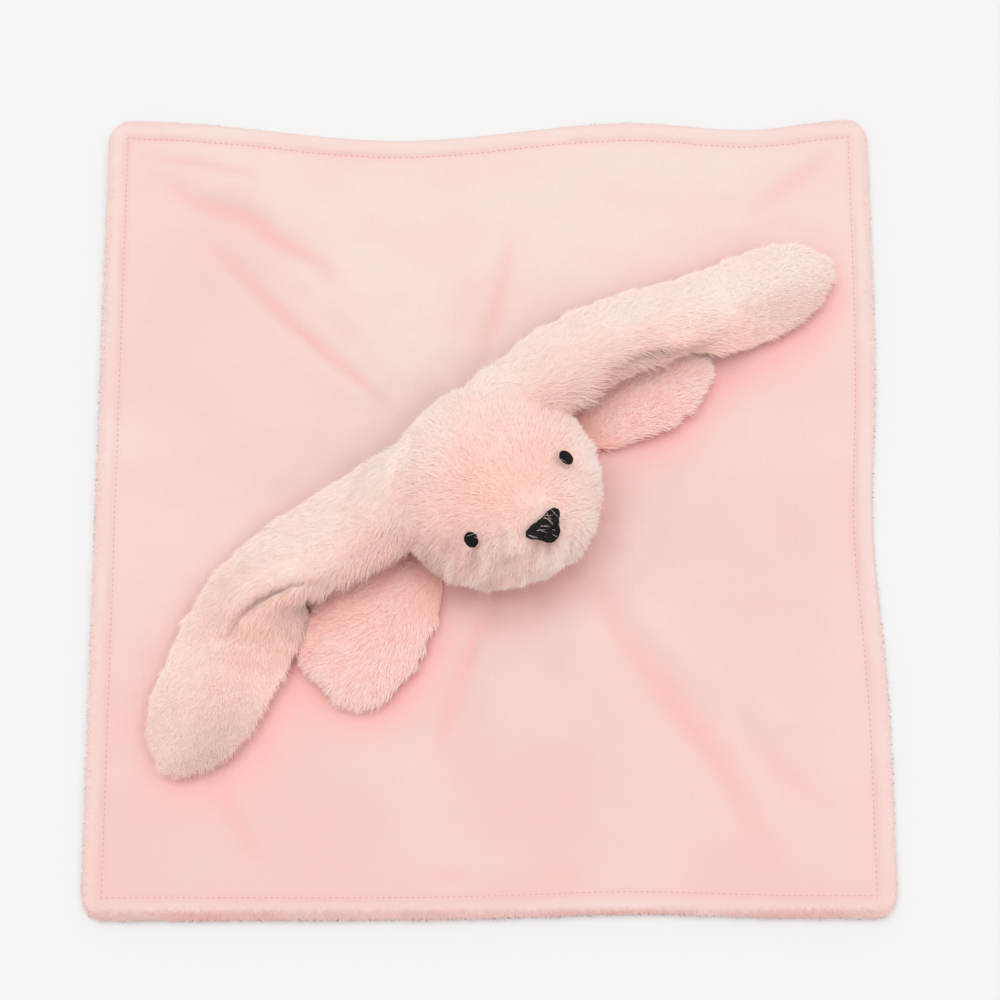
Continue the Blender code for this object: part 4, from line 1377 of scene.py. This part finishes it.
def embroider(node):
    """One black embroidered pad: its padding and the rows of satin stitches over it."""
    padding = even_skin(node, [node], 0.0005, 0.0005, 4)
    tree = mesh_tree(padding)
    local = rows_to_rabbit(read_points(padding))
    low, high = local[:, :2].min(axis=0), local[:, :2].max(axis=0)
    rng = np.random.default_rng(7)
    points, headings = [], []
    for row, across in enumerate(np.arange(low[0], high[0], SATIN_PITCH)):
        first = low[1] - (row % 3) * SATIN_STAGGER
        for along in np.arange(first, high[1], SATIN_LENGTH * 0.8):
            shift = rng.normal(0, SATIN_SHIFT, 2)
            start = rabbit_to_row((across + shift[0], along + shift[1], SATIN_TOP))
            hit, normal, _, _ = tree.ray_cast(start, Vector((0, 0, -1)))
            if hit is None or normal.z < 0.45:
                continue
            turned = turned_to_row(np.array([[0.25 + rng.normal(0, 0.10), 1.0, 0.0]]))
            points.append(hit)
            headings.append(tangent(turned, np.array([normal]))[0])
    name = f"{node}_embroidery"
    stitches = np.array(points), np.array(headings)
    threads = lay_threads(name, *stitches, SATIN_LENGTH, SATIN_PITCH * 1.25)
    for mesh in (padding, threads):
        mesh.materials.clear()
        mesh.materials.append(bpy.data.materials["embroidery_black"])
        mesh.shade_smooth()
    over = turned_to_row(np.tile([[0.5, -1.0, 0.0]], (len(local), 1)))
    upper = smooth(0.15, 0.85, (local[:, 1] - low[1]) / (high[1] - low[1]))
    pile_fields(
        padding,
        nap=tangent(over, read_points(padding, "normal")),
        length=np.ones(len(local)),
        density=0.15 + 0.85 * upper,
        tone=np.ones(len(local)),
    )
    strands = STRAY_HAIRS * (high[0] - low[0]) * (high[1] - low[1])
    hairs = grow_pile(padding, "plush_pile_head", 91, strands, **STRAY_PILE)
    pad = join_meshes(name, [padding, threads, hairs])
    stands_for(node)
    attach(pad, "head")


def stitch_tree():
    """Geometry nodes that lay one short thread on each point, along its heading."""
    inputs = (
        ("Geometry", "Geometry", None),
        ("Stitch Length", "Float", 0.0019),
        ("Thread Width", "Float", 0.0005),
        ("Material", "Material", None),
    )
    graph, given = new_tree("Stitches", "GeometryNodeTree", inputs, ("Geometry", "Geometry"))
    shape = {"Segments": 6, "Rings": 5, "Radius": 0.5}
    ball = graph.add("GeometryNodeMeshUVSphere", shape).outputs["Mesh"]
    size = graph.vector(given["Thread Width"], given["Thread Width"], given["Stitch Length"])
    about = graph.facing(graph.named("heading", "FLOAT_VECTOR"), (0.0, 0.0, 1.0))
    graph.end_with_copies(given["Geometry"], ball, about, size, given["Material"])


def lay_threads(name, points, headings, length, width):
    """A mesh of short threads at the points, each along its heading."""
    mesh = bpy.data.meshes.new(name)
    mesh.from_pydata(points.tolist(), [], [])
    write_attribute(mesh, "heading", headings)
    thread = bpy.data.materials["sewing_thread"]
    values = {"Stitch Length": length, "Thread Width": width, "Material": thread}
    mesh = applied_tree(new_object(name, mesh), "Stitches", values)
    mesh.attributes.remove(mesh.attributes["heading"])
    return mesh


def stitch_path(looks):
    """The topstitch's line: a loop of points in plan, one stitch apart."""
    half_x, half_y = (side - looks.hem_width for side in BLANKET_HALF)
    corners = np.array([(-half_x, -half_y), (half_x, -half_y), (half_x, half_y), (-half_x, half_y)])
    places = []
    for start, end in zip(corners, np.roll(corners, -1, axis=0)):
        count = round(math.dist(start, end) / looks.stitch_pitch)
        places.extend(start + (end - start) * step / count for step in range(count))
    return np.stack(with_sags(*np.array(places).T), axis=1)


def lay_stitches(name, places, cloth, direction, node, looks):
    """One row of stitches as a piece, on the cloth's face over or under its places in plan."""
    tree = mesh_tree(bpy.data.objects[cloth].data)
    points = []
    for px, py in places:
        start = Vector((px, py, -PROBE_HEIGHT * direction))
        hit = tree.ray_cast(start, Vector((0, 0, direction)))[0]
        level = hit.z if hit is not None else FIELD_TOP
        points.append((px, py, level - STITCH_LIFT * direction))
    points = np.array(points)
    heading = unit(np.roll(points, -1, axis=0) - np.roll(points, 1, axis=0))
    mesh = lay_threads(name, points, heading, looks.stitch_pitch * 0.6, looks.thread_width)
    row = new_object(name, mesh)
    dress(row, "sewing_thread", node)
    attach(row, "blanket")


def hem_pile(looks):
    """The short pile that shows along the blanket's rolled edge."""
    mesh = bpy.data.objects["blanket_upper_cloth"].data.copy()
    points, normals = read_surface(mesh)
    x, y = points[:, 0], points[:, 1]
    half_x, half_y = BLANKET_HALF
    edge = 1 - smooth(0.0015, 0.0050, np.minimum(half_x - np.abs(x), half_y - np.abs(y)))
    facing = smooth(0.15, 0.5, normals[:, 2])
    way = unit(np.stack([x**5, y**5, np.zeros(len(points))], axis=1))
    near = y < 0.005 - half_y
    pile_fields(
        mesh,
        nap=tangent(way, normals),
        length=np.where(near, 1.3, 0.7),
        density=edge * facing * (1 + near),
        tone=0.5 * smooth(0.006, 0.003, half_y - np.abs(y)),
        # Painted shade: the bottom edge's fibres, facing away from the light, are darker
        dusk=0.30 * near * (1 + value_noise(x, y, 0.012, 16)),
    )
    pile = grow_pile(mesh, "velour_pile", 71, looks.hem_strands, **HEM_PILE)
    piece = new_object("blanket_hem_pile", pile)
    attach(piece, "blanket")


def length_setting(name, description, default):
    """A length in a group of settings."""
    return FloatProperty(name=name, description=description, default=default, unit="LENGTH")


def count_setting(name, description, default):
    """A whole number in a group of settings."""
    return IntProperty(name=name, description=description, default=default)


def colour_setting(name, description, default):
    """A colour in a group of settings."""
    return FloatVectorProperty(
        name=name, description=description, default=default, subtype="COLOR", size=3
    )


class ClothLooks(bpy.types.PropertyGroup):
    """Sizes and colours of the blanket's cloth and stitches."""

    hem_width: length_setting(
        "Hem width", "From the blanket's edge to the topstitching", 0.0085
    )
    groove_depth: length_setting(
        "Groove depth", "How far the topstitching draws the cloth down", 0.0006
    )
    stitch_pitch: length_setting("Stitch pitch", "From one stitch to the next", 0.0024)
    thread_width: length_setting("Thread width", "Width of the sewing thread", 0.00036)
    hem_strands: count_setting(
        "Edge fibres", "Number of fibres along the rolled edge", 24000
    )
    cloth_colour: colour_setting(
        "Velour colour", "Colour of the blanket's velour", (0.845, 0.702, 0.653)
    )
    cloth_warm: colour_setting(
        "Velour patch colour", "Colour of the velour's brushed patches", (0.835, 0.562, 0.533)
    )
    # Painted shade: the velour's deeper pink in folds, the groove, round the rabbit and on the
    # bottom edge's fibres
    cloth_crease_shade: colour_setting(
        "Velour crease colour", "Colour down in the velour's creases", (0.870, 0.480, 0.455)
    )
    cloth_shade: colour_setting(
        "Velour shade colour",
        "Colour of the velour where the rabbit keeps the light off it",
        (0.940, 0.530, 0.500),
    )
    pile_root: colour_setting(
        "Edge root colour", "Colour at the roots of the edge's fibres", (0.93, 0.78, 0.73)
    )
    pile_tip: colour_setting(
        "Edge tip colour", "Colour of the tips of the edge's fibres", (0.98, 0.83, 0.78)
    )
    thread_colour: colour_setting(
        "Thread colour", "Colour of the sewing thread", (0.83, 0.54, 0.52)
    )
    satin_colour: colour_setting(
        "Embroidery colour", "Colour of the eyes' and the nose's thread", (0.0025, 0.0025, 0.003)
    )


class PlushLooks(bpy.types.PropertyGroup):
    """Sizes and colours of the rabbit's plush."""

    pile_length: length_setting("Pile length", "Length of the head's pile", 0.0068)
    pile_depth: length_setting(
        "Pile depth", "How far the head's backing lies under its outline", 0.0044
    )
    pile_width: length_setting(
        "Fibre width", "Width of one lock of fibres at its root", 0.00021
    )
    pile_lean: FloatProperty(
        name="Lean",
        description="How far the fibres lean from upright at the root",
        default=0.84,
        subtype="ANGLE",
    )
    pile_curl: FloatProperty(
        name="Curl",
        description="How far the fibres bend over towards their tips",
        default=0.45,
    )
    tuft_turn: FloatProperty(
        name="Tuft turn",
        description="How much neighbouring tufts turn from the nap",
        default=0.4,
    )
    head_strands: count_setting(
        "Head fibres", "Number of fibres on each of the head's panels", 34000
    )
    ear_strands: count_setting("Ear fibres", "Number of fibres on each ear", 71000)
    arm_strands: count_setting("Arm fibres", "Number of fibres on each arm", 21000)
    # Partly painted shade: the roots' deeper colour stands for the shade down between the fibres
    root_colour: colour_setting(
        "Root colour", "Colour at the roots of the head's pile", (1.0, 0.76, 0.68)
    )
    head_colour: colour_setting(
        "Head colour", "Colour of the head's fibre tips", (1.0, 0.965, 0.930)
    )
    # Partly painted shade down between the ears' fibres
    ear_root: colour_setting(
        "Ear root colour", "Colour at the roots of the ears' pile", (1.0, 0.89, 0.84)
    )
    ear_backing: colour_setting(
        "Ear backing colour", "Colour of the backing under the ears' pile", (1.0, 0.91, 0.86)
    )
    ear_colour: colour_setting(
        "Ear colour", "Colour of the ears' fibre tips", (1.0, 0.970, 0.930)
    )
    arm_colour: colour_setting(
        "Arm colour", "Colour of the arms' fibre tips", (1.0, 0.915, 0.870)
    )
    # Also the painted shade on the ears' lower sides and crease and on the lower cheeks, through
    # the pile's tone
    warm_colour: colour_setting(
        "Warm patch colour", "Colour of the pile's brushed patches", (1.0, 0.725, 0.635)
    )
    # Painted shade: the pile in the ears' folds and fringes and on the lower cheeks, over their own
    # streaks
    dusk_colour: colour_setting(
        "Dusk colour",
        "Colour of the pile down in the folds and in the cheeks' streaks",
        (0.62, 0.40, 0.37),
    )
    # Painted shade: the arms' pile under the ears and the head; also the arms' root and backing
    # colour
    deep_colour: colour_setting(
        "Deep colour", "Colour of the arms' pile under the ears", (1.0, 0.590, 0.510)
    )
    filling_colour: colour_setting(
        "Filling colour", "Colour of the fibre filling", (0.86, 0.86, 0.84)
    )


class BLANKET_OT_finishes(bpy.types.Operator):
    """Make the materials and the trees that the pieces share"""

    bl_idname = "blanket.finishes"
    bl_label = "Finishes"

    def execute(self, context):
        cloth, plush = context.scene.cloth_looks, context.scene.plush_looks
        soft_blotches()
        pile_tree()
        stitch_tree()
        for name in ("velour_upper", "velour_lower"):
            velour_material(name, cloth)
        warm, deep, dusk = plush.warm_colour, plush.deep_colour, plush.dusk_colour
        for name, *colours in (
            ("velour_pile", cloth.pile_root, cloth.pile_tip, cloth.cloth_warm, cloth.cloth_crease_shade),
            ("plush_pile_head", plush.root_colour, plush.head_colour, warm, dusk),
            ("plush_pile_ear", plush.ear_root, plush.ear_colour, warm, dusk),
            ("plush_pile_arm", deep, plush.arm_colour, deep, dusk),
        ):
            pile_material(name, *colours)
        skin_material(BACKINGS["head"], plush.root_colour)
        skin_material(BACKINGS["ear"], plush.ear_backing)
        skin_material(BACKINGS["arm"], deep)
        skin_material("stuffing_fibre", plush.filling_colour)
        thread_material("sewing_thread", cloth.thread_colour, 0.2, 900.0)
        thread_material("embroidery_black", cloth.satin_colour, 0.0, 420.0)
        return {"FINISHED"}


class BLANKET_OT_cloth(bpy.types.Operator):
    """Make the blanket's upper and lower velour panels"""

    bl_idname = "blanket.cloth"
    bl_label = "Blanket cloth"

    def execute(self, context):
        make_upper_cloth(context.scene.cloth_looks)
        make_lower_cloth(context.scene.cloth_looks)
        return {"FINISHED"}


class BLANKET_OT_stitches(bpy.types.Operator):
    """Sew the topstitching round the border and the seam round the neck"""

    bl_idname = "blanket.stitches"
    bl_label = "Stitches"

    def execute(self, context):
        looks = context.scene.cloth_looks
        border = stitch_path(looks)
        turns = np.linspace(0, math.tau, 78, endpoint=False)
        ring = np.stack([np.cos(turns), np.sin(turns)], axis=1) * NECK_RADIUS
        ring = ring + np.array(RABBIT_PLACE)[:2]
        upper, lower = "blanket_upper_cloth", "blanket_lower_cloth"
        for name, places, cloth, direction, node in (
            ("topstitching_upper", border, upper, -1, "topstitch_upper_thread"),
            ("topstitching_lower", border, lower, 1, "topstitch_lower_thread"),
            ("neck_seam_stitches", ring, upper, -1, "neck_seam_thread"),
        ):
            lay_stitches(name, places, cloth, direction, node, looks)
        return {"FINISHED"}


class BLANKET_OT_edge_pile(bpy.types.Operator):
    """Grow the short pile along the blanket's edge"""

    bl_idname = "blanket.edge_pile"
    bl_label = "Edge pile"

    def execute(self, context):
        hem_pile(context.scene.cloth_looks)
        return {"FINISHED"}


class BLANKET_OT_head(bpy.types.Operator):
    """Make the head's plush covers and their stuffing"""

    bl_idname = "blanket.head"
    bl_label = "Head"

    def execute(self, context):
        make_head(context.scene.plush_looks)
        return {"FINISHED"}


class BLANKET_OT_ears(bpy.types.Operator):
    """Make both ears' plush panels"""

    bl_idname = "blanket.ears"
    bl_label = "Ears"

    def execute(self, context):
        for side in ("left", "right"):
            make_ear(side, context.scene.plush_looks)
        return {"FINISHED"}


class BLANKET_OT_arms(bpy.types.Operator):
    """Make both arms' plush panels and their stuffing"""

    bl_idname = "blanket.arms"
    bl_label = "Arms"

    def execute(self, context):
        for side in ("left", "right"):
            make_arm(side, context.scene.plush_looks)
        return {"FINISHED"}


class BLANKET_OT_face(bpy.types.Operator):
    """Make the embroidered eyes and nose"""

    bl_idname = "blanket.face"
    bl_label = "Eyes and nose"

    def execute(self, context):
        for node in ("eye_left", "eye_right", "nose"):
            embroider(node)
        return {"FINISHED"}


class BLANKET_OT_stage(bpy.types.Operator):
    """Set up the pale floor, the soft light and the camera"""

    bl_idname = "blanket.stage"
    bl_label = "Stage"

    def execute(self, context):
        make_floor()
        make_world(context.scene)
        make_lamps(context.scene)
        make_camera(context.scene)
        return {"FINISHED"}


def make_floor():
    """A wide pale floor just under the blanket."""
    mesh = bpy.data.meshes.new("floor")
    corners = ((-1, -1), (1, -1), (1, 1), (-1, 1))
    points = [(x * FLOOR_SIDE, y * FLOOR_SIDE, FLOOR_LEVEL) for x, y in corners]
    mesh.from_pydata(points, [], [(0, 1, 2, 3)])
    floor = new_object("floor", mesh)
    _, shader = new_material("pale_floor", 0.9)
    shader.inputs["Base Color"].default_value = rgba(FLOOR_COLOUR)
    mesh.materials.append(bpy.data.materials["pale_floor"])


def make_world(scene):
    """An even studio sky: white behind the object, softer as light."""
    world = bpy.data.worlds.new("studio")
    world.use_nodes = True
    world.node_tree.nodes.clear()
    scene.world = world
    graph = Graph(world.node_tree)
    path = graph.add("ShaderNodeLightPath").outputs
    seen = graph.math("MAXIMUM", path["Is Camera Ray"], path["Is Glossy Ray"])
    seen = graph.math("MAXIMUM", seen, path["Is Transmission Ray"])
    mixed = graph.add("ShaderNodeMixShader", {"Fac": seen})
    skies = ((SKY_COLOUR, SKY_STRENGTH), (BACKDROP_COLOUR, 1.0))
    for socket, (colour, strength) in zip(mixed.inputs[1:], skies):
        inputs = {"Color": rgba(colour), "Strength": strength}
        graph.feed(socket, graph.first("ShaderNodeBackground", inputs))
    graph.add("ShaderNodeOutputWorld", {"Surface": mixed.outputs[0]})


def make_lamps(scene):
    """A broad soft key from the upper left and a broader fill from the right."""
    for name, strength, size, place in LAMPS:
        lamp = bpy.data.lights.new(name, "SUN")
        lamp.energy = strength
        lamp.angle = math.radians(size)
        holder = bpy.data.objects.new(name, lamp)
        holder.location = place
        holder.rotation_euler = Vector(place).to_track_quat("Z", "Y").to_euler()
        scene.collection.objects.link(holder)


def make_camera(scene):
    """The photograph's view: nearly straight down, from the chin's side."""
    data = bpy.data.cameras.new("camera")
    data.lens = CAMERA_LENS
    data.sensor_width = CAMERA_SENSOR
    camera = bpy.data.objects.new("camera", data)
    back = Vector((0, -math.sin(CAMERA_TILT), math.cos(CAMERA_TILT)))
    place = Vector(CAMERA_TARGET) + back * CAMERA_DISTANCE
    turn = Matrix.Rotation(CAMERA_TILT, 4, "X") @ Matrix.Rotation(CAMERA_ROLL, 4, "Z")
    camera.matrix_world = Matrix.Translation(place) @ turn
    scene.collection.objects.link(camera)
    scene.camera = camera
    scene.view_settings.view_transform = "Standard"
    # Light passes from fibre to fibre many times in pale pile
    scene.cycles.max_bounces = LIGHT_BOUNCES
    scene.cycles.diffuse_bounces = FIBRE_BOUNCES


class BLANKET_PT_panel(bpy.types.Panel):
    """Lists the steps that dress the comfort blanket"""

    bl_label = "Comfort blanket"
    bl_idname = "BLANKET_PT_panel"
    bl_space_type = "VIEW_3D"
    bl_region_type = "UI"
    bl_category = "Comfort blanket"

    def draw(self, context):
        layout = self.layout
        for step in STEPS:
            layout.operator(step.bl_idname)
        for looks in (context.scene.cloth_looks, context.scene.plush_looks):
            for name in looks.__annotations__:
                layout.prop(looks, name)


STEPS = (
    BLANKET_OT_finishes,
    BLANKET_OT_cloth,
    BLANKET_OT_stitches,
    BLANKET_OT_edge_pile,
    BLANKET_OT_head,
    BLANKET_OT_ears,
    BLANKET_OT_arms,
    BLANKET_OT_face,
    BLANKET_OT_stage,
)
CLASSES = (ClothLooks, PlushLooks, *STEPS, BLANKET_PT_panel)


def register():
    for kind in CLASSES:
        bpy.utils.register_class(kind)
    bpy.types.Scene.cloth_looks = PointerProperty(type=ClothLooks)
    bpy.types.Scene.plush_looks = PointerProperty(type=PlushLooks)


def unregister():
    del bpy.types.Scene.plush_looks
    del bpy.types.Scene.cloth_looks
    for kind in reversed(CLASSES):
        bpy.utils.unregister_class(kind)


def main():
    """Register the add-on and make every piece."""
    register()
    bpy.ops.blanket.finishes()
    bpy.ops.blanket.cloth()
    bpy.ops.blanket.stitches()
    bpy.ops.blanket.edge_pile()
    bpy.ops.blanket.head()
    bpy.ops.blanket.ears()
    bpy.ops.blanket.arms()
    bpy.ops.blanket.face()
    bpy.ops.blanket.stage()


if __name__ == "__main__":
    main()
